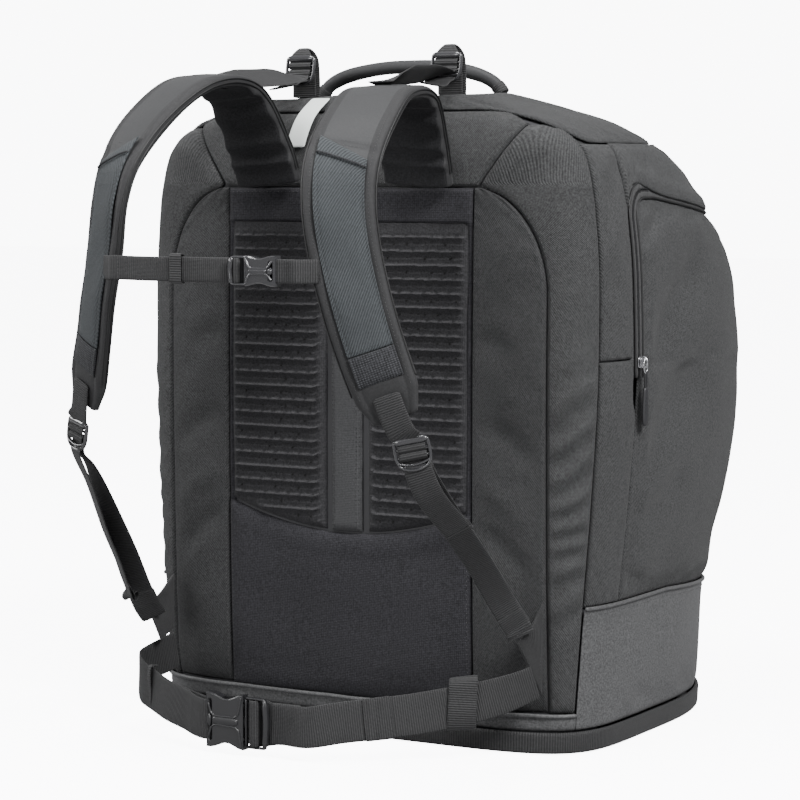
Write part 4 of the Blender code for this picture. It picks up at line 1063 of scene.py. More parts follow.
def tub():
    """Coated tub round the base, tall at the sides and front, with a rolled top edge."""
    low = RIM_TOP + 0.0006

    def front_place(s, t):
        start = heading_of_y(low, gusset_y(low))
        heading = mix(start, 180 - start, s)
        z = mix(low, tub_top(right_heading(heading)), t)
        return heading + (heading_of_y(z, gusset_y(z)) - start) * np.cos(math.pi * s), z

    def back_place(s, t):
        start = heading_of_y(low, gusset_y(low))
        heading = mix(-180 - start, start, s)
        z = mix(low, STRIP_TOP, t)
        return heading - (heading_of_y(z, gusset_y(z)) - start) * np.cos(math.pi * s), z

    def lift(u, v):
        edge = v[-1:] - v
        return (0.0012 + 0.0012 * waves(u, v, 101, 0.2) * ease(v / 0.03) * ease(edge / 0.02)
                + 0.0009 * waves(u, v, 102, 0.045) * bell(v - 0.012, 0.012)
                - 0.0016 * (1 - np.minimum(v / 0.004, 1)) ** 2)

    def hem(shape, points, normals, u, v):
        edge = points[-1] + normals[-1] * 0.0004
        shape.tube(edge, 0.0021, 0, 10)

    rows = np.concatenate([[0, 0.01, 0.03, 0.06], np.linspace(0.1, 0.96, 22), [0.98, 1.0]])
    columns = np.concatenate([[0, 0.002, 0.006], np.linspace(0.012, 0.988, 170), [0.994, 0.998, 1]])
    made = case_panel("boot_tub_wrap", front_place, columns, rows, lift, 0.0018,
                      materials=("tarp", "thread"),
                      seams=(("t", 0.0065), ("l", 0.004), ("r", 0.004)), extra=hem)
    attach(made, "case", "tarpaulin", "boot_tub")
    made = case_panel("boot_tub_back_strip", back_place, np.linspace(0, 1, 90), np.linspace(0, 1, 8), lift,
                      0.0018,
                      materials=("tarp", "thread"), seams=seams_at("t"), extra=hem)
    attach(made, "case", "tarpaulin")

    turn = np.arange(240) * 1.5 - 90
    shape = Shape("web")
    profile = [(0.0006, 0.001), (0.0012, 0.0034), (0.003, 0.0042), (0.01, 0.004), (0.018, 0.0042),
               (0.0202, 0.0036), (RIM_TOP, 0.0016), (RIM_TOP - 0.001, -0.0002), (0.01, -0.0004),
               (0.001, -0.0004)]
    rings = np.stack([skin(turn, np.full(240, z), np.full(240, lift)) for z, lift in profile], 1)
    run = np.radians(turn) * 0.25
    uv = np.stack(np.broadcast_arrays(np.array([p[0] for p in profile])[None], run[:, None]), -1)
    shape.loft(rings, 0, uv, False, True)
    attach(shape.build("base_rim_webbing"), "case", "webbing", "base_rim")


# ---------------------------------------------------------------- zip
def zip_path(dense=5):
    """Heading and height along the zip, from its right end over the front to its left."""
    z = np.linspace(ZIP_BOTTOM_Z - 0.004, ZIP_ARCH_Z, 30)
    heading = heading_of_y(z, np.full(z.shape, ZIP_Y))
    turn = np.radians(np.linspace(0, 90, 14)[1:])
    corner_z = ZIP_ARCH_Z + ZIP_CORNER * np.sin(turn)
    corner = heading_of_y(corner_z, ZIP_Y + ZIP_CORNER * (1 - np.cos(turn)))
    run = np.linspace(corner[-1], 90, 16 * dense)[1:]
    heading = np.concatenate([heading, corner, run])
    z = np.concatenate([z, corner_z, zip_run_z(run)])
    return np.concatenate([heading, 180 - heading[-2::-1]]), np.concatenate([z, z[-2::-1]])


def zipper():
    heading, z = zip_path()
    line, out = on_case(heading, z), normal_at(heading, z)
    along = directions(line)
    outward = unit(np.cross(out, along))
    run = run_of(line)
    for name, way, body, node in (("outer", 1, "case", "zip_tape_outer"),
                                  ("flap", -1, "flap", "zip_tape_flap")):
        shape = Shape("tape", "dark_thread", "coil")
        profile = [(0.0004, 0.0), (0.001, 0.0003), (0.004, 0.0004), (0.007, 0.0004), (0.0082, -0.0014),
                   (0.0125, -0.0026), (0.0125, -0.0036), (0.0082, -0.003), (0.004, -0.0012),
                   (0.0004, -0.0012)]
        rings = np.stack([line + outward * way * across + out * lift for across, lift in profile], 1)
        uv = np.stack(np.broadcast_arrays(np.array([p[0] for p in profile])[None], run[:, None]), -1)
        shape.loft(rings, 0, uv)
        shape.tube(line + outward * way * 0.0076 + out * 0.0006, 0.0011, 1, 6)
        shape.tube(line + outward * way * 0.0009 + out * 0.0004,
                   0.0008 + 0.0002 * np.sin(run * 6283 / 1.4), 2, 6)
        made = shape.build(f"zip_half_{name}", 0)
        if body == "flap":
            bridge(made, "zip_coil", (node,), ("case", "flap"), HINGE_START, HINGE_END)
        else:
            attach(made, body, "zip_coil", node)


def pulls():
    """Slider bodies with a loop, a cord and a moulded tab."""
    z = ZIP_BOTTOM_Z + 0.01
    heading = heading_of_y(np.array(z), np.array(ZIP_Y))
    out = normal_at(heading, np.array(z))
    up = np.array((0, 0, 1.0))
    across = unit(np.cross(up, out))
    seat = skin(heading, np.array(z), 0.001)
    for name, side in SIDES:
        shape = Shape("metal")
        for height, width, length in ((0.0006, 0.0095, 0.0125), (0.0026, 0.008, 0.011)):
            turns = circle(16)
            ring = (across * (np.sign(np.cos(turns)) * np.abs(np.cos(turns)) ** 0.6 * width / 2)[:, None]
                    + up * (np.sign(np.sin(turns)) * np.abs(np.sin(turns)) ** 0.6 * length / 2)[:, None])
            low, high = seat + ring + out * (height - 0.0008), seat + ring * 0.94 + out * (height + 0.0008)
            shape.loft(np.stack([low, high]), 0)
        arch = [seat + up * d + out * h for d, h in ((-0.0052, 0.003), (-0.0046, 0.0062), (-0.001, 0.0078),
                                                     (0.0026, 0.0074), (0.005, 0.0052), (0.0054, 0.003))]
        shape.tube(curve_through(arch, 4), 0.0009, 0, 8)
        made = shape.build(f"slider_body_{name}", side=side)
        attach(made, f"slider_{name}", "slider_metal", f"zip_slider_{name}")

        pivot = seat + out * 0.0062 + up * 0.002
        shape = Shape("plastic", "rubber", "metal")
        turns = np.linspace(0, 2 * math.pi, 25)[:-1]
        eye = pivot - up * 0.0052 + up * (np.cos(turns) * 0.0068)[:,
            None] + across * (np.sin(turns) * 0.0036)[:, None]
        shape.tube(eye, 0.0008, 2, 8, True)
        for lean in (-1, 1):
            cord = [pivot - up * d + across * lean * w + out * 0.0004 for d, w in
                    ((0.0098, 0.0), (0.0125, 0.0013), (0.019, 0.0016), (0.026, 0.0012), (0.031, 0.001))]
            shape.tube(curve_through(cord, 4), 0.0011, 0, 8)
        rows, sizes = [], ((0.025, 0.0026, 0.0016), (0.0262, 0.0036, 0.0021), (0.031, 0.004, 0.0023),
                           (0.04, 0.0047, 0.0022), (0.05, 0.0052, 0.0021), (0.0585, 0.0048, 0.002),
                           (0.0612, 0.003, 0.0013))
        turns = circle(16)
        for down, wide, thick in sizes:
            rows.append(pivot - up * down + across * (np.cos(turns) * wide)[:, None]
                        + out * (np.sin(turns) * thick)[:, None])
        shape.loft(np.array(rows), 1)
        for down in (0.034, 0.0375, 0.041, 0.0445, 0.048):
            bar = [pivot - up * down + across * x + out * 0.0019 for x in (-0.0032, 0, 0.0032)]
            shape.tube(bar, 0.0007, 1, 6)
        made = shape.build(f"pull_tab_{name}", side=side)
        attach(made, f"pull_{name}", "buckle_plastic", f"zip_pull_{name}")


# ---------------------------------------------------------------- webbing and straps
def web_profile(width, thick, sides=9):
    """Flat webbing with soft selvedges, as (across, out) places round its cross section."""
    across = np.linspace(-1, 1, sides)
    crown = 0.5 - 0.22 * np.abs(across) ** 6
    top = np.stack([across * width / 2, crown * thick], -1)
    under = np.stack([across[::-1] * width / 2, -crown[::-1] * thick], -1)
    return np.concatenate([top, under])


def loft_along(shape, line, sides, profile, kind=0, widths=None):
    """Carries a cross section along a line whose width points along `sides`."""
    line, sides = np.asarray(line, float), np.asarray(sides, float)
    along = directions(line)
    across = square_to(sides, along)
    out = np.cross(along, across)
    widths = np.ones(len(line)) if widths is None else np.asarray(widths, float)
    profile = profile if profile.ndim == 3 else np.repeat(profile[None], len(line), 0)
    rings = line[:, None] + across[:, None] * (profile[..., :1] * widths[:, None, None]) + out[:,
        None] * profile[..., 1:]
    run = run_of(line)
    uv = np.stack([profile[..., 0], np.broadcast_to(run[:, None], profile.shape[:2])], -1)
    shape.loft(rings, kind, uv)
    return across, out


def spread_sides(sides, count):
    sides = np.asarray(sides, float)
    place = np.linspace(0, len(sides) - 1, count)
    return unit(np.stack([np.interp(place, np.arange(len(sides)), sides[:, k]) for k in range(3)], -1))


def webbing(shape, points, sides, width, thick, dense, kind=0, stitch_ends=(), seed=1, widths=None):
    """A length of webbing through a few points, with small uneven bends and sewn ends."""
    line = curve_through(points, dense)
    sides = spread_sides(sides, len(line))
    along = directions(line)
    out = np.cross(along, square_to(sides, along))
    place = np.linspace(0, 1, len(line))
    line = line + out * (0.0006 * waves(place, place * 0, seed, 0.35) * np.sin(place * math.pi))[:, None]
    across, out = loft_along(shape, line, sides, web_profile(width, thick), kind, widths)
    run = run_of(line)
    for distance in stitch_ends:
        at = distance if distance >= 0 else run[-1] + distance
        middle, side, up = (np.array([np.interp(at, run, a[:, k]) for k in range(3)])
                            for a in (line, across, out))
        for face in (1, -1):
            row = np.stack([middle + side * (width * 0.44 * x) + up * face * thick * 0.5
                            for x in (-1, 0, 1)])
            shape.stitches(row, np.stack([up * face] * 3), 1, *FINE_STITCH)


STRAP_LINE = (
    (0.081, -0.2145, 0.519, 0), (0.084, -0.229, 0.556, 0), (0.091, -0.262, 0.6, 4),
    (0.099, -0.318, 0.602, 10),
    (0.11, -0.369, 0.576, 18), (0.115, -0.404, 0.541, 25), (0.119, -0.417, 0.504, 29),
    (0.125, -0.417, 0.461, 30),
    (0.135, -0.414, 0.418, 30), (0.146, -0.407, 0.376, 28), (0.1635, -0.3965, 0.321, 22),
)
LOCK_PLACE = (0.1765, -0.3915, 0.2925)
LOCK_LEAN = 0.2


def rung(shape, centre, way, half, up, kind=1, count=7, size=FINE_STITCH):
    """A straight row of stitches across a strap."""
    row = np.array(centre) + np.linspace(-half, half, count)[:, None] * np.array(way)
    shape.stitches(row, np.repeat(unit(np.array(up, float))[None], count, 0), kind, *size)


def strap_frames(dense):
    """The right shoulder strap's middle line and its width directions."""
    rows = np.array(STRAP_LINE)
    line = curve_through(rows[:, :3], dense)
    turn = np.radians(curve_through(np.stack([rows[:, 3]] * 3, -1), dense)[:, 0])
    return line, np.stack([np.cos(turn), np.sin(turn), turn * 0], -1)


def strap_width(share):
    return mix(0.07, 0.057, share) - 0.016 * ease((share - 0.955) / 0.045)


def shoulder_straps():
    dense = 12
    line, sides = strap_frames(dense)
    share = np.linspace(0, 1, len(line))
    along = directions(line)
    across = square_to(sides, along)
    out = np.cross(along, across)
    half = strap_width(share) / 2
    run = run_of(line)
    panel_from, panel_to = 0.492, 0.945

    # cross section: share of the half width, height on the outer face
    x = np.array([-1.0, -0.985, -0.94, -0.86, -0.72, -0.66, -0.6, -0.3, 0, 0.3, 0.6, 0.66, 0.72, 0.86,
                  0.94, 0.985, 1.0])
    face = np.array([0.0, 0.0026, 0.0046, 0.0054, 0.0054, 0.0042, 0.0056, 0.0064, 0.0066, 0.0064, 0.0056,
                     0.0042,
                     0.0054, 0.0054, 0.0046, 0.0026, 0.0])
    back_x = x[::-1][1:-1]
    back = -np.array([0.003, 0.0052, 0.0062, 0.0064, 0.0065, 0.0066, 0.0068, 0.007, 0.0068, 0.0066, 0.0065,
                      0.0064,
                      0.0062, 0.0052, 0.003])
    pinch = ease((share - 0.93) / 0.06)[:, None]
    gather = bell(share - 0.48, 0.01)[:, None]
    grooves = (face[None] < 0.0045) & (np.abs(x[None]) < 0.8)
    above_panel = 1 - ease((share[:, None] - 0.46) / 0.02)
    fronts = face[None] * (1 - 0.45 * pinch - 0.22 * gather) + 0.0011 * grooves * above_panel
    fronts = fronts + 0.0005 * waves(x[None] * 0.03, run[:, None], 3, 0.07) * (np.abs(x[None]) < 0.9)
    backs = back[None] * (1 - 0.5 * pinch)
    tucks = ((0.06, 0.01), (0.105, 0.011), (0.155, 0.012), (0.205, 0.012))
    root = sum(bell(share - place, width) for place, width in tucks)[:, None]
    backs = backs - 0.0042 * root + 0.0008 * waves(back_x[None] * 0.03, run[:, None], 4, 0.06)
    profile = np.stack([
        np.concatenate([x[None] * half[:, None], back_x[None] * half[:, None]], 1),
        np.concatenate([fronts, backs], 1),
    ], -1)
    size = profile.shape[1]
    uv = np.stack([profile[..., 0], np.broadcast_to(run[:, None], profile.shape[:2])], -1)
    level = line
    for name, side in SIDES:
        sag = bell(share - 0.27, 0.13) * (-0.004 if side > 0 else 0.009)
        line = level + sag[:, None] * np.array((0, 0, 1.0))
        rings = line[:, None] + across[:, None] * profile[..., :1] + out[:, None] * profile[..., 1:]
        shape = Shape("strap", "thread", "strap_side", "binding", "dark_thread", "web")
        shape.loft(rings, 0, uv)
        index = np.arange((len(line) - 1) * size)
        column, row = index % size, index // size
        kinds = np.zeros(len(index), int)
        kinds[column >= len(x) - 1] = 2
        border = (column < len(x) - 1) & ((column < 5) | (column > len(x) - 7)) & (share[row] > 0.02)
        border |= (column == len(x) - 1) | (column >= size - 2) | (column == len(x))
        kinds[border] = 3
        kinds[(kinds == 0) & (share[row] > 0.5)] = 3
        shape.kinds[: len(index)] = kinds.tolist()

        def face_line(place, lift, first=0.0, last=1.0):
            keep = (share >= first) & (share <= last)
            height = np.array([np.interp(place, x, f) for f in fronts])
            spot = line + across * (place * half)[:, None] + out * (height + lift)[:, None]
            return spot[keep], out[keep]

        for place in (-0.8, 0.8):
            shape.stitches(*face_line(place, 0.0002, 0.14, 0.96), 1, *EDGE_STITCH)
        for edge in (-1, 1):
            for height in (0.0016, -0.002):
                cord = line + across * (edge * (half + 0.0003))[:, None] + out * height
                shape.tube(cord[4:-6], 0.0009, 4, 6)
        for cut in (0.474, 0.482):
            k = int(cut * (len(share) - 1))
            row_points = np.array([line[k] + across[k] * s * half[k]
                                   + out[k] * (np.interp(s, x, fronts[k]) + 0.0003)
                                   for s in np.linspace(-0.62, 0.62, 9)])
            shape.stitches(row_points, np.repeat(out[k][None], 9, 0), 1, *EDGE_STITCH)
        end = [line[-1] - along[-1] * 0.024 + out[-1] * 0.0072,
               line[-1] - along[-1] * 0.006 + out[-1] * 0.0066,
               mix(line[-1], np.array(LOCK_PLACE), 0.35) + out[-1] * 0.004,
               np.array(LOCK_PLACE) + np.array((0, 0, 0.011))]
        webbing(shape, end, [sides[-1]] * 2, STRAP_WEB, WEB_THICK, 6, 5, (0.006, 0.016, -0.012), 5)
        made = shape.build(f"shoulder_strap_padded_{name}", side=side)
        attach(made, f"harness_{name}", "strap_fabric", f"shoulder_strap_{name}")

        keep = (share >= panel_from - 0.006) & (share <= panel_to)
        spots, ways, ups, halves, runs = line[keep], across[keep], out[keep], half[keep], run[keep]
        s = np.array([-1, -0.985, -0.94, -0.86, -0.7, -0.5, -0.25, 0, 0.25, 0.5, 0.7, 0.86, 0.94, 0.985, 1])
        part = np.linspace(0, 1, len(spots))[:, None]
        ends = np.minimum(part / 0.02, 1) * np.minimum((1 - part) / 0.02, 1)
        rise = 0.0069 + (0.0016 * (1 - np.abs(s[None]) ** 3)
                         + 0.0006 * waves(s[None] * 0.03, part * 0.3, 12, 0.09)) * ends
        rise = rise - 0.0007 * bell(np.abs(s[None]) - 0.88, 0.05)
        wide = 0.7 * halves[:, None] * s[None]
        slant = (wide - 0.012) * 0.42 * (1 - ease(part / 0.12))
        top_grid = (spots[:, None] + ways[:, None] * wide[..., None] + ups[:, None] * rise[..., None]
                    + directions(spots)[:, None] * slant[..., None])
        low_grid = top_grid - ups[:, None] * 0.0016
        shape = Shape("strap_mesh", "dark_thread", "patch")
        flat = np.stack([wide, np.broadcast_to(runs[:, None], wide.shape)], -1)
        cut = int(len(spots) * 0.88)
        shape.shell(top_grid[: cut + 1], low_grid[: cut + 1], flat[: cut + 1])
        shape.shell(top_grid[cut:] + ups[cut:, None] * 0.0006, low_grid[cut:], flat[cut:], 2)
        for edge in (-0.93, -0.8, 0.93):
            height = np.array([np.interp(edge, s, r) for r in rise])
            shape.stitches(spots + ways * (0.7 * halves * edge)[:, None]
                           + ups * (height + 0.0002)[:, None], ups, 1, *PANEL_STITCH)
        first_row = top_grid[3, 1:-1] + ups[3] * 0.0016
        shape.tube(np.concatenate([first_row[:1] - ups[3] * 0.003, first_row,
                                   first_row[-1:] - ups[3] * 0.003]), 0.0011, 2, 6)
        for k in (6, 9, cut - 1, cut + 3, len(spots) - 3):
            places = np.linspace(-0.85, 0.85, 9)
            row_points = np.stack([np.interp(places, s, top_grid[k, :, c]) for c in range(3)], -1)
            shape.stitches(row_points + ups[k] * 0.0006, np.repeat(ups[k][None], 9, 0), 1, *PANEL_STITCH)
        made = shape.build(f"strap_centre_panel_{name}", side=side)
        attach(made, f"harness_{name}", "strap_fabric", f"strap_rail_{name}")


def adjusters():
    """Corner tabs, and the lower webbing from them up through the ladder locks, with its sewn tail."""
    last = unit(np.array(LOCK_PLACE) - np.array(STRAP_LINE[-1][:3]))
    for name, side in SIDES:
        flip = np.array((side, 1, 1))
        across = np.array((math.cos(math.radians(STRAP_LINE[-1][3])),
                           math.sin(math.radians(STRAP_LINE[-1][3])), 0))
        lean = np.cross(across, -last)
        turned = across * math.cos(LOCK_LEAN) + -last * math.sin(LOCK_LEAN)
        ladder_lock(f"strap_ladder_lock_{name}", f"strap_lock_{name}", f"ladder_lock_{name}",
                    np.array(LOCK_PLACE) * flip, turned * flip, np.cross(turned, lean) * -1 * flip)
        shape = Shape("web", "thread", "dark_thread")
        if side > 0:
            line = [(0.196, -0.235, 0.1225), (0.1925, -0.244, 0.1345), (0.187, -0.256, 0.1526),
                    (0.1836, -0.284, 0.1839),
                    (0.1814, -0.3236, 0.2203), (0.1802, -0.356, 0.25), (0.18, -0.3835, 0.2765),
                    (0.1778, -0.386, 0.2885),
                    (0.1768, -0.389, 0.2945)]
            turns = [(0.66, 0.36, 0.66), (0.72, 0.34, 0.58), (0.84, 0.28, 0.4), (0.88, 0.3, 0.3),
                     (0.91, 0.34, 0.22), (0.91, 0.37, 0.2)]
            tail = [(0.177, -0.391, 0.293), (0.1786, -0.388, 0.285), (0.1812, -0.388, 0.275),
                    (0.185, -0.379, 0.257),
                    (0.188, -0.363, 0.241), (0.19, -0.348, 0.229), (0.1912, -0.339, 0.2215)]
            tail_turns = [(0.91, 0.37, 0.2), (0.86, 0.34, 0.36), (0.8, 0.34, 0.48)]
            hem = [(0.1976, -0.233, 0.115), (0.196, -0.2366, 0.1225), (0.1918, -0.2468, 0.137)]
            hem_turn = (0.66, 0.36, 0.66)
        else:
            line = [(0.1963, -0.2545, 0.112), (0.196, -0.2734, 0.1375), (0.1894, -0.3058, 0.1804),
                    (0.1851, -0.3391, 0.2269),
                    (0.1805, -0.365, 0.26), (0.18, -0.3835, 0.2765), (0.1778, -0.386, 0.2885),
                    (0.1768, -0.389, 0.2945)]
            turns = [(-0.8, 0.44, 0.4), (-0.86, 0.3, 0.32), (-0.9, -0.2, 0.2), (-0.78, -0.6, 0.04),
                     (-0.84, -0.5, -0.12), (-0.91, -0.37, -0.2)]
            tail = [(0.177, -0.391, 0.293), (0.1786, -0.388, 0.285), (0.1806, -0.388, 0.275),
                    (0.184, -0.364, 0.2436),
                    (0.1912, -0.332, 0.199), (0.195, -0.306, 0.164), (0.1985, -0.283, 0.129)]
            tail_turns = [(-0.91, -0.37, -0.2), (-0.72, -0.68, 0.06), (-0.66, -0.72, 0.16)]
            hem = [(0.1958, -0.245, 0.102), (0.1963, -0.256, 0.1135), (0.196, -0.268, 0.13)]
            hem_turn = (-0.8, 0.44, 0.4)
        webbing(shape, line, turns, STRAP_WEB, WEB_THICK, 9, 0, (), 7)
        webbing(shape, tail, tail_turns, STRAP_WEB, WEB_THICK, 8, 0, (), 8)
        end = np.array(tail[-1])
        back, under = unit(end - np.array(tail[-2])), np.array((-0.0008, 0.0034, 0.0))
        fold_back = [end, end + back * 0.0024, end + back * 0.0012 + under, end - back * 0.01 + under]
        webbing(shape, fold_back, [tail_turns[-1]] * 2, 0.0255, 0.0018, 6, 0, (), 9)
        webbing(shape, hem, [hem_turn] * 2, 0.0258, 0.003, 6, 0, (), 9)
        middle = mix(np.array(hem[0]), np.array(hem[1]), 0.4)
        face = np.array((0.48 * side, -0.87, 0.08))
        rung(shape, middle + unit(face) * 0.0016, hem_turn, 0.0108, face, 1, 7,
             (0.003, 0.0022, 0.0011, 0.0009))
        made = shape.build(f"adjuster_webbing_{name}", side=side)
        ends = [tuple(np.array(p) * flip) for p in ((0.19, -0.25, 0.142), (0.1745, -0.383, 0.276))]
        bridge(made, "webbing", (f"adjust_strap_{name}",), ("case", f"harness_{name}"), *ends)

        shape = Shape("web", "thread")
        if side > 0:
            corners = ((0.2075, -0.2075, 0.144), (0.2085, -0.2115, 0.0565), (0.2035, -0.2262, 0.1215),
                       (0.1935, -0.2325, 0.1085))
        else:
            corners = ((0.201, -0.206, 0.14), (0.2, -0.2095, 0.086), (0.1999, -0.2528, 0.1112),
                       (0.1918, -0.2424, 0.0781))
        top_corner, low_corner, apex_top, apex_low = map(np.array, corners)
        s, t = np.meshgrid(np.linspace(0, 1, 9), np.linspace(0, 1, 22))
        seam_line = low_corner + (top_corner - low_corner) * t[..., None]
        mouth = apex_low + (apex_top - apex_low) * t[..., None]
        grid = seam_line + (mouth - seam_line) * s[..., None]
        way = unit(np.cross(top_corner - low_corner, apex_low - low_corner))
        way = way * np.sign(-way[1])
        grid = grid + way * (0.0006 * np.sin(s * math.pi) * waves(s, t, 6, 0.6))[..., None]
        u, v = metric(grid)
        shape.shell(grid, grid - way * 0.002, np.stack([v, u], -1))
        for row in (1, -2):
            shape.stitches(grid[row] + way * 0.0003, np.repeat(way[None], 9, 0), 1, *FINE_STITCH)
        shape.stitches(grid[1:-1, 1] + way * 0.0003, np.repeat(way[None], 20, 0), 1, *FINE_STITCH)
        made = shape.build(f"corner_webbing_tab_{name}", side=side)
        attach(made, "case", "webbing", f"corner_tab_{name}")


def load_lifters():
    """Folded loops on the crown, their ladder locks and the twisted webs down to the straps."""
    across = np.array((1.0, 0, 0))
    for name, side in SIDES:
        flip = np.array((side, 1, 1))
        drop = unit(np.array((0, -0.15, -0.99)))
        ladder_lock(f"lifter_ladder_lock_{name}", f"lifter_lock_{name}", f"lifter_buckle_{name}",
                    (np.array((0.08, -0.16, 0.64)) + drop * 0.013) * flip, across * flip, -drop)
        shape = Shape("web", "thread")
        loop = [(0.08, -0.1475, 0.601), (0.08, -0.147, 0.612), (0.08, -0.148, 0.63), (0.08, -0.15, 0.642),
                (0.08, -0.1535, 0.6475), (0.08, -0.158, 0.6465), (0.08, -0.161, 0.6405),
                (0.08, -0.159, 0.634),
                (0.08, -0.156, 0.628), (0.08, -0.1545, 0.612), (0.08, -0.1545, 0.6015)]
        rise = curve_through(loop, 6)[:, 2]
        dome = np.sqrt(np.maximum(1 - (np.maximum(rise - 0.6345, 0) / 0.015) ** 2, 0.09))
        webbing(shape, loop, [across] * 2, 0.0265, 0.0022, 6, 0, (0.004, 0.012), 11, dome)
        made = shape.build(f"lifter_loop_webbing_{name}", side=side)
        attach(made, "case", "webbing", f"lifter_loop_{name}")

        shape = Shape("web", "thread")
        line = [(0.08, -0.1672, 0.6245), (0.08, -0.17, 0.6215), (0.0812, -0.184, 0.6205),
                (0.0845, -0.212, 0.6195),
                (0.088, -0.243, 0.618), (0.092, -0.27, 0.6145), (0.095, -0.294, 0.611),
                (0.0975, -0.312, 0.6095)]
        turns = [(1, 0, 0), (0.92, -0.1, 0.35), (0.74, -0.1, 0.66), (0.7, -0.1, 0.7), (0.86, 0.0, 0.45),
                 (1, 0.12, 0)]
        webbing(shape, line, turns, STRAP_WEB, WEB_THICK, 8, 0, (-0.006, -0.014), 12)
        tail = [(0.08, -0.1664, 0.618), (0.08, -0.17, 0.6165), (0.0812, -0.182, 0.613),
                (0.083, -0.198, 0.6105)]
        webbing(shape, tail, [(1, 0, 0), (0.96, 0, -0.2)], STRAP_WEB, WEB_THICK, 6, 0, (-0.006,), 13)
        made = shape.build(f"lifter_webbing_{name}", side=side)
        bridge(made, "webbing", (f"lifter_strap_{name}",), ("case", f"harness_{name}"),
               (side * 0.08, -0.17, 0.62), (side * 0.095, -0.29, 0.612))


def sweep(shape, line, ups, wide, thick, kind=0, sides=14, closed=False):
    """An oval bar along a line, `thick` towards ups and `wide` across it."""
    line = np.asarray(line, float)
    along = directions(line, closed)
    ups = np.broadcast_to(ups, line.shape)
    ups = square_to(ups, along)
    across = np.cross(ups, along)
    turns = circle(sides)
    wide, thick = np.broadcast_to(wide, len(line)), np.broadcast_to(thick, len(line))
    rings = (line[:, None] + across[:, None] * (np.cos(turns)[None] * wide[:, None])[..., None]
             + ups[:, None] * (np.sin(turns)[None] * thick[:, None])[..., None])
    shape.loft(rings, kind, None, True, closed)


def rod(a, b, count=11):
    return mix(np.array(a, float), np.array(b, float), np.linspace(0, 1, count)[:, None])


def rounded_ends(count, middle, end, reach=0.14):
    """Bar size along its length: `middle`, drawn in to `end` at both ends."""
    share = np.linspace(0, 1, count)
    return mix(end, middle, ease(np.minimum(share, 1 - share) / reach))


def ladder_lock(name, body, slot_node, place, across, up):
    """Glossy ladder lock: domed top bar, two web bars, a curved lip and a rounded frame."""
    across, up = unit(np.array(across, float)), np.array(up, float)
    up = unit(up - across * np.dot(up, across))
    out = np.cross(across, up)
    out = out * (1 if out[1] < 0 else -1)

    def at(points):
        points = np.atleast_2d(points)
        return np.array(place) + points[:, :1] * across + points[:, 1:2] * up + points[:, 2:] * out

    shape = Shape("gloss", "web")
    frame_line = curve_through([(-0.0146, 0.0128, 0), (-0.015, 0.004, 0), (-0.0143, -0.005, 0),
                                (-0.01, -0.0112, 0),
                                (0, -0.0136, 0), (0.01, -0.0112, 0), (0.0143, -0.005, 0), (0.015, 0.004, 0),
                                (0.0146, 0.0128, 0)], 4)
    sweep(shape, at(frame_line), out, 0.0014, 0.0021)
    bar = rod((-0.0152, 0.0118, 0.0004), (0.0152, 0.0118, 0.0004), 17)
    sweep(shape, at(bar), out, rounded_ends(17, 0.0034, 0.0016), rounded_ends(17, 0.003, 0.0018))
    for y in (0.005, -0.002):
        sweep(shape, at(rod((-0.0145, y, -0.0004), (0.0145, y, -0.0004))), out, 0.0012, 0.0014)
    lip = curve_through([(-0.0138, -0.0062, 0.0006), (-0.007, -0.0082, 0.0012), (0, -0.009, 0.0014),
                         (0.007, -0.0082, 0.0012),
                         (0.0138, -0.0062, 0.0006)], 4)
    sweep(shape, at(lip), out, 0.0011, 0.002)
    sweep(shape, at(rod((-0.0105, -0.0108, -0.0004), (0.0105, -0.0108, -0.0004))), out,
          rounded_ends(11, 0.0024, 0.0012), 0.0009)
    for low, high in ((0.002, 0.0082), (-0.005, 0.0012)):
        patch = [(0, high + 0.0004, -0.0016), (0, high - 0.0006, 0.0012), (0, mix(low, high, 0.5), 0.0022),
                 (0, low + 0.0006, 0.0012),
                 (0, low - 0.0004, -0.0016)]
        webbing(shape, at(patch), [across] * 2, 0.0245, 0.0012, 5, 1)
    attach(shape.build(name), body, "buckle_plastic", slot_node)


def buckle_frame(prefix, body, mouth, way, half, length, tongue, reach):
    """Plug half of a buckle: domed outer bar, web bar, side rails and the guide tongue."""
    x, y, z = mouth

    def at(points):
        points = np.atleast_2d(points)
        return np.stack([x - way * points[:, 0], y + points[:, 2], z + points[:, 1]], -1)

    out = np.array((0, -1.0, 0))
    shape = Shape("gloss" if prefix == "sternum" else "plastic")
    rail = half - 0.0016
    for side in (-1, 1):
        line = curve_through([(0.001, side * rail, 0), (length * 0.5, side * rail, 0),
                              (length - 0.0026, side * (rail - 0.0002), 0),
                              (length - 0.0014, side * (rail - 0.001), 0)], 4)
        sweep(shape, at(line), out, 0.0013, 0.0026)
    bar = curve_through([(length - 0.0018, -rail, 0), (length - 0.0006, -rail * 0.5, 0), (length, 0, 0),
                         (length - 0.0006, rail * 0.5, 0),
                         (length - 0.0018, rail, 0)], 4)
    sweep(shape, at(bar), out, rounded_ends(len(bar), 0.003, 0.0016),
          rounded_ends(len(bar), 0.0038, 0.0026))
    sweep(shape, at(rod((length * 0.52, -rail, 0), (length * 0.52, rail, 0))), out, 0.0013, 0.0018)
    sweep(shape, at(rod((0.0016, -rail, 0), (0.0016, rail, 0))), out, 0.0017, 0.0026)
    nose = rod((0.0008, 0, 0), (-reach, 0, 0), 9)
    sweep(shape, at(nose), out, mix(tongue, tongue * 0.6, np.linspace(0, 1, 9)), 0.002)
    attach(shape.build(f"{prefix}_plug_frame"), body, "buckle_plastic", f"{prefix}_buckle_frame")


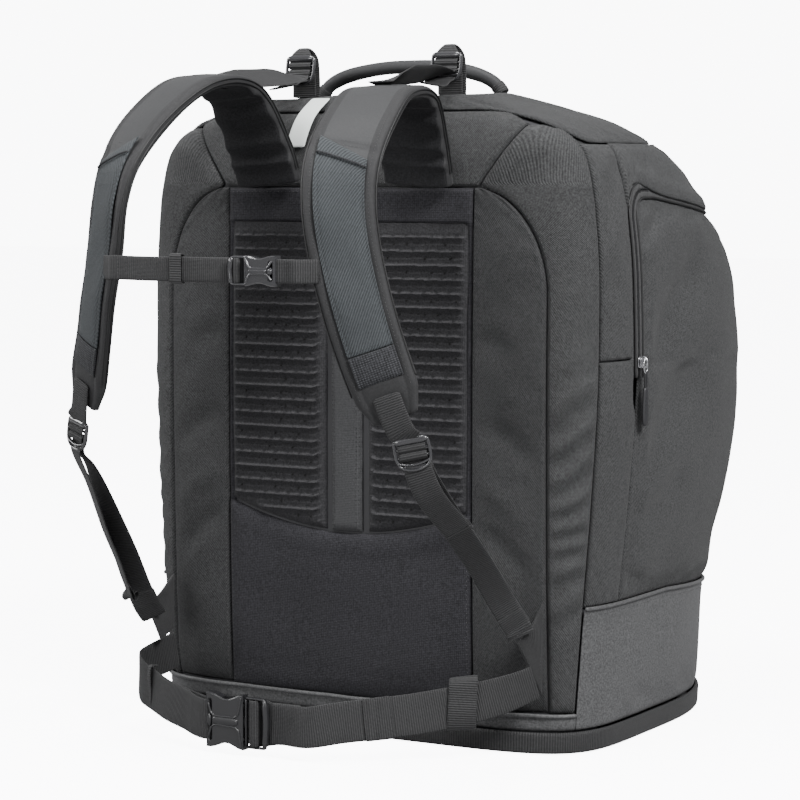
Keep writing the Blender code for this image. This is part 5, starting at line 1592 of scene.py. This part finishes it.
def resized(node_name, new_name, body, centre_z):
    """A moulded part drawn a little lower than its CAD solid, about the buckle's middle."""
    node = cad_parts[node_name]
    mesh = node.data.copy()
    to_world = node.matrix_world.copy()
    mesh.transform(to_world)
    for vertex in mesh.vertices:
        vertex.co.z = centre_z + (vertex.co.z - centre_z) * SOCKET_SHARE
    mesh.materials.clear()
    mesh.materials.append(M["gloss"])
    mesh.polygons.foreach_set("material_index", np.zeros(len(mesh.polygons), np.int32))
    made = bpy.data.objects.new(new_name, mesh)
    bpy.context.scene.collection.objects.link(made)
    round_edges(made, 0.0009)
    attach(made, body, "buckle_plastic", node_name)


def round_edges(obj, width):
    bevel = obj.modifiers.new("edges", "BEVEL")
    bevel.width = width
    bevel.segments = 3
    bevel.limit_method = "ANGLE"
    bevel.angle_limit = math.radians(32)
    bevel.harden_normals = False


def socket_ribs(prefix, body, mouth, way, half, length, depth):
    """Raised middle rib, end boss and the two swept cheeks on a socket's outer face."""
    x, y, z = mouth
    out = np.array((0, -1.0, 0))

    def at(points):
        points = np.atleast_2d(points)
        return np.stack([x + way * points[:, 0], y - depth - points[:, 2], z + points[:, 1]], -1)

    shape = Shape("gloss" if prefix == "sternum" else "plastic")
    rib = rod((0.0045, 0, -0.0002), (length - 0.0075, 0, -0.0002), 13)
    sweep(shape, at(rib), out, rounded_ends(13, half * 0.16, half * 0.1), 0.0017)
    for side in (-1, 1):
        cheek = curve_through([(0.001, side * half * 0.9, 0), (0.0026, side * half * 0.56, 0),
                               (0.006, side * half * 0.22, 0),
                               (length * 0.42, side * half * 0.17, 0),
                               (length - 0.008, side * half * 0.2, 0),
                               (length - 0.003, side * half * 0.62, 0)], 6)
        sweep(shape, at(cheek), out, 0.001, 0.0011)
    boss = rod((length - 0.0066, 0, -0.0004), (length - 0.002, 0, -0.0004), 7)
    sweep(shape, at(boss), out, rounded_ends(7, half * 0.26, half * 0.1, 0.4), 0.0019)
    attach(shape.build(f"{prefix}_socket_ribs"), body, "buckle_plastic")


SOCKET_SHARE = 0.82
STERNUM_MOUTH = (0.046, -0.446, 0.447)
BELT_MOUTH = (-0.034, -0.332, 0.0305)


def chest_strap():
    """Sternum webs with keepers; the left one runs through its frame."""
    x, y, z = STERNUM_MOUTH
    up = (0, 0, 1.0)
    shape = Shape("web", "thread", "dark_thread")
    left = [(-0.1165, -0.43, z), (-0.106, -0.4365, z), (-0.096, -0.4425, z + 0.0005),
            (-0.06, y + 0.0006, z), (-0.01, y + 0.0012, z),
            (0.018, y + 0.0016, z), (0.0262, y + 0.0042, z), (0.0312, y + 0.0036, z),
            (0.0326, y - 0.0006, z), (0.0346, y - 0.003, z),
            (0.0378, y - 0.003, z), (0.0394, y - 0.0004, z), (0.04, y + 0.004, z), (0.037, y + 0.0058, z),
            (0.022, y + 0.0058, z),
            (-0.02, y + 0.0034, z), (-0.05, y + 0.0032, z)]
    webbing(shape, left, [up] * 2, 0.0215, 0.0016, 7, 0, (0.03,), 15)
    half_loop = [(0.0052, -0.0112), (0.0014, -0.0124), (-0.0014, -0.0112), (-0.0018, 0)]
    keeper = [(-0.0275, y + dy, z + dz) for dy,
              dz in half_loop + [(dy, -dz) for dy, dz in half_loop[-2::-1]]]
    webbing(shape, keeper, [(1, 0, 0)] * 2, 0.012, 0.0012, 5, 0, (), 16)
    for place in (-0.049, -0.0362):
        rung(shape, (place, y - 0.001, z), up, 0.0098, (0, -1, 0), 2, 7, BOLD_STITCH)
    bridge(shape.build("chest_web_left"), "webbing", ("sternum_web_left",),
           ("sternum_left", "sternum_plug"),
           (-0.02, y, z), (0.022, y, z))
    shape = Shape("web", "thread", "dark_thread")
    right = [(x + 0.0262, y + 0.003, z), (x + 0.0275, y + 0.0008, z), (x + 0.0295, y - 0.0018, z),
             (x + 0.033, y - 0.0022, z),
             (x + 0.04, y - 0.0012, z), (0.094, y - 0.0004, z), (0.102, -0.44, z), (0.11, -0.435, z)]
    webbing(shape, right, [up] * 2, 0.0205, 0.0016, 8, 0, (), 17)
    webbing(shape, [(x + 0.0262, y + 0.003, z), (x + 0.036, y + 0.0024, z), (x + 0.048, y + 0.0018, z)],
            [up] * 2, 0.0205, 0.0016, 6, 0, (), 18)
    rung(shape, (x + 0.0415, y - 0.0022, z), up, 0.0094, (0, -1, 0), 2, 7, BOLD_STITCH)
    attach(shape.build("chest_web_right"), "sternum_right", "webbing", "sternum_web_right")
    buckle_frame("sternum", "sternum_plug", STERNUM_MOUTH, 1, 0.013, 0.017, 0.0026, 0.009)
    for node, name, body in (("sternum_buckle_socket", "sternum_socket_body", "sternum_right"),
                             ("sternum_prong_upper", "sternum_prong_top", "sternum_spring_upper"),
                             ("sternum_prong_lower", "sternum_prong_bottom", "sternum_spring_lower")):
        resized(node, name, body, z)
    socket_ribs("sternum", "sternum_right", STERNUM_MOUTH, 1, 0.013, 0.0305, 0.0055)


def hip_belt():
    """Wide belt webs; the left one is looped on its socket, the right one folds through its frame."""
    x, y, z = BELT_MOUTH
    end = x - 0.04
    shape = Shape("web", "thread", "dark_thread")
    left = [(end + 0.0045, y + 0.003, z), (end + 0.004, y - 0.002, z), (end + 0.001, y - 0.005, z),
            (end - 0.006, y - 0.004, z),
            (end - 0.02, y + 0.003, z + 0.001), (end - 0.034, y + 0.011, z + 0.003),
            (-0.138, -0.308, 0.037),
            (-0.165, -0.291, 0.0405), (-0.185, -0.279, 0.0445), (-0.2, -0.264, 0.05),
            (-0.205, -0.254, 0.053),
            (-0.204, -0.244, 0.056), (-0.199, -0.225, 0.061), (-0.195, -0.209, 0.065)]
    turns = [(0, 0, 1), (0, 0.0, 1), (0.04, 0.1, 1), (0.02, 0.16, 1), (0.1, -0.25, 1), (0.05, 0.0, 1)]
    webbing(shape, left, turns, BELT_WEB, WEB_THICK, 8, 0, (), 21)
    inner = [(end + 0.0045, y + 0.003, z), (end - 0.006, y + 0.0058, z),
             (end - 0.034, y + 0.015, z + 0.003), (-0.136, -0.305, 0.0365)]
    webbing(shape, inner, [(0, 0, 1)] * 2, BELT_WEB, WEB_THICK, 6, 0, (-0.006,), 22)
    keeper = [(-0.169, -0.2838, 0.0245), (-0.1705, -0.29, 0.0262), (-0.1712, -0.289, 0.043),
              (-0.1716, -0.2868, 0.0612), (-0.17, -0.2805, 0.0625)]
    webbing(shape, keeper, [unit(np.array((0.76, -0.62, 0.1)))] * 2, 0.009, 0.0014, 6, 0, (), 26)
    attach(shape.build("hip_webbing_left"), "belt_left", "webbing", "hip_web_left")

    shape = Shape("web", "thread", "dark_thread")
    right = [(-0.03, y + 0.0048, z), (-0.0292, y + 0.002, z), (-0.028, y - 0.002, z),
             (-0.0255, y - 0.004, z), (-0.0215, y - 0.004, z),
             (-0.0195, y - 0.002, z), (-0.0186, y + 0.0016, z), (-0.0165, y + 0.0046, z),
             (-0.008, y + 0.0046, z), (0.006, y + 0.0038, z + 0.001),
             (0.032, y + 0.002, z + 0.0015), (0.06, -0.316, 0.037), (0.09, -0.3, 0.041),
             (0.12, -0.282, 0.0455),
             (0.15, -0.264, 0.052), (0.176, -0.247, 0.059), (0.194, -0.233, 0.066), (0.206, -0.22, 0.072)]
    count = 7 * (len(right) - 1) + 1
    place = np.linspace(0, 1, count)
    narrow = 1 - 0.14 * ease((place - 0.78) / 0.2) + 0.14 * (1 - ease((place - 0.42) / 0.08))
    webbing(shape, right, [(0, 0, 1), (0, 0, 1), (0, 0.05, 1), (0.02, 0.12, 1), (0.16, 0.05, 1)], BELT_WEB,
            WEB_THICK, 7, 0, (), 23, narrow)
    tail = [(-0.03, y + 0.0048, z), (-0.016, y + 0.0072, z + 0.0004), (0.01, y + 0.0066, z + 0.001),
            (0.024, y + 0.0052, z + 0.0015)]
    webbing(shape, tail, [(0, 0, 1)] * 2, BELT_WEB, WEB_THICK, 6, 0, (-0.006,), 24)
    for place, depth in ((0.014, 0.0018), (0.017, 0.0016)):
        rung(shape, (place, y + depth, z + 0.0012), (0, 0, 1), 0.0172, (0, -1, 0), 2, 11,
             (0.0032, 0.0024, 0.0011, 0.0007))
    patch = [(0.078, -0.3086, 0.0396), (0.083, -0.3062, 0.0402), (0.092, -0.301, 0.0414),
             (0.101, -0.296, 0.0427)]
    webbing(shape, patch, [(0.01, 0.09, 1)] * 2, 0.0392, 0.0016, 6, 0, (), 27)
    keeper = [(0.15, -0.256, 0.031), (0.1535, -0.264, 0.033), (0.155, -0.265, 0.054),
              (0.1545, -0.262, 0.0755), (0.15, -0.254, 0.077)]
    webbing(shape, keeper, [unit(np.array((0.86, 0.5, 0.12)))] * 2, 0.026, 0.0018, 6, 0, (0.006, -0.006),
            25)
    bridge(shape.build("hip_webbing_right"), "webbing", ("hip_web_right",), ("belt_right", "belt_plug"),
           (0.046, -0.322, 0.034), (-0.004, -0.329, 0.031))
    buckle_frame("hip", "belt_plug", BELT_MOUTH, -1, 0.0242, 0.0228, 0.0056, 0.015)
    socket_ribs("hip", "belt_left", BELT_MOUTH, -1, 0.0255, 0.04, 0.0055)


def handle():
    """A rolled grab handle sewn into the crown at both ends."""
    y, z = -0.089, 0.6125
    half = [(0.101, -0.008), (0.0965, -0.002), (0.088, 0.005), (0.072, 0.0115), (0.05, 0.0162),
            (0.025, 0.019)]
    right = [(x, y, z + rise) for x, rise in half]
    points = right + [(0, y, z + 0.0195)] + [(-x, y, z + rise) for x, rise in half[::-1]]
    line = curve_through(points, 9)
    share = np.linspace(0, 1, len(line))
    radius = 0.0066 + 0.0002 * waves(share, share * 0, 33, 0.2)
    shape = Shape("strap", "dark_thread", "web")
    shape.tube(line, radius, 0, 20)
    along = directions(line)
    low = unit(np.cross(along, np.array((0, 1.0, 0))))
    low = low * np.sign(-low[:, 2:3] + 1e-9)
    toward = unit(low * 0.35 + np.array((0, -0.94, 0)))
    shape.stitches(line + toward * radius[:, None], toward, 1, 0.0036, 0.0026, 0.0009, 0.0006)
    for end in (line[:13], line[-13:]):
        shape.tube(end, np.full(13, 0.0071), 2, 20)
    attach(shape.build("grab_handle_roll"), "handle", "webbing", "grab_handle")


def hardware():
    """Moulded parts keep their CAD shape, with softened edges and a glossy finish."""
    for name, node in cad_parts.items():
        if node.hide_render:
            continue
        key = {"base_panel": "tarp", "base_board": "board", "frame_sheet": "board"}.get(name, "plastic")
        node.data.materials.clear()
        node.data.materials.append(M[key])
        if key == "plastic":
            round_edges(node, 0.0012 if name.endswith("socket") else 0.0005)


# ---------------------------------------------------------------- stage
BACKDROP, AMBIENT = 9.0, 0.42
FLOOR_HALF, FLOOR_DROP = 14.0, 0.0004
LIGHTS = (
    ("key", (2.5, -1.1, 2.6), 215, 1.1),
    ("left_rim", (-2.6, -0.9, 1.5), 34, 1.0),
    ("top", (-0.2, -0.7, 2.9), 62, 0.9),
    ("front", (-0.6, -3.2, 1.2), 46, 1.4),
)  # name, place, watts, width
AIM = Vector((0, 0, 0.3))
CAMERA_TURN, CAMERA_RISE, CAMERA_DISTANCE = math.radians(29), math.radians(4.8), 2.7
LENS, SENSOR = 121.0, 36.0
AIM_LEFT, AIM_UP = 0.02045, 0.0011


def camera_ray(tree):
    return tree.nodes.new("ShaderNodeLightPath").outputs["Is Camera Ray"]


def floor_nodes(tree, shader):
    """Pale matte ground. The camera sees it near the backdrop's tone, and it throws little light back up."""
    set_inputs(shader,
               {"Roughness": 0.9, "Specular IOR Level": 0.1, "Emission Color": (0.98, 0.98, 1.0, 1)})
    seen = camera_ray(tree)
    share = math_node(tree, "ADD", math_node(tree, "MULTIPLY", seen, 0.7), 0.3)
    tint(tree, shader, (0.9, 0.9, 0.91), share)
    tree.links.new(math_node(tree, "MULTIPLY", seen, BACKDROP), shader.inputs["Emission Strength"])


def backdrop():
    """A wide floor, and a world that is pale to the camera and dim to the piece."""
    scene = bpy.context.scene
    mesh = bpy.data.meshes.new("floor")
    corners = [(x * FLOOR_HALF, y * FLOOR_HALF, 0) for x, y in ((-1, -1), (1, -1), (1, 1), (-1, 1))]
    mesh.from_pydata(corners, [], [(0, 1, 2, 3)])
    mesh.materials.append(node_material("floor", floor_nodes))
    floor = bpy.data.objects.new("floor", mesh)
    floor.location.z = -FLOOR_DROP
    scene.collection.objects.link(floor)

    scene.world = bpy.data.worlds.new("studio")
    scene.world.use_nodes = True
    tree = scene.world.node_tree
    ground = tree.nodes["Background"]
    ground.inputs[0].default_value = (0.98, 0.985, 1.0, 1)
    shown = math_node(tree, "MULTIPLY", camera_ray(tree), BACKDROP + 0.4)
    tree.links.new(math_node(tree, "ADD", shown, AMBIENT), ground.inputs[1])


def lights():
    for name, place, watts, width in LIGHTS:
        light = bpy.data.lights.new(name, "AREA")
        light.energy, light.size = watts, width
        obj = bpy.data.objects.new(name, light)
        obj.location = place
        obj.rotation_euler = (AIM - Vector(place)).to_track_quat("-Z", "Y").to_euler()
        bpy.context.scene.collection.objects.link(obj)


def camera():
    """Behind the harness, a little to its right and a little above the middle."""
    level = math.cos(CAMERA_RISE)
    back = Vector((math.sin(CAMERA_TURN) * level, -math.cos(CAMERA_TURN) * level, math.sin(CAMERA_RISE)))
    right = (-back).cross(Vector((0, 0, 1))).normalized()
    up = right.cross(-back)
    made = bpy.data.objects.new("camera", bpy.data.cameras.new("camera"))
    made.data.lens, made.data.sensor_width = LENS, SENSOR
    made.location = AIM + back * CAMERA_DISTANCE
    made.rotation_euler = (-back - right * AIM_LEFT + up * AIM_UP).to_track_quat("-Z", "Y").to_euler()
    bpy.context.scene.collection.objects.link(made)
    bpy.context.scene.camera = made


back_centre()
back_sides()
side_panels()
front()
top()
lining()
hang_tag()
tub()
zipper()
pulls()
shoulder_straps()
adjusters()
load_lifters()
chest_strap()
hip_belt()
handle()
hardware()
backdrop()
lights()
camera()
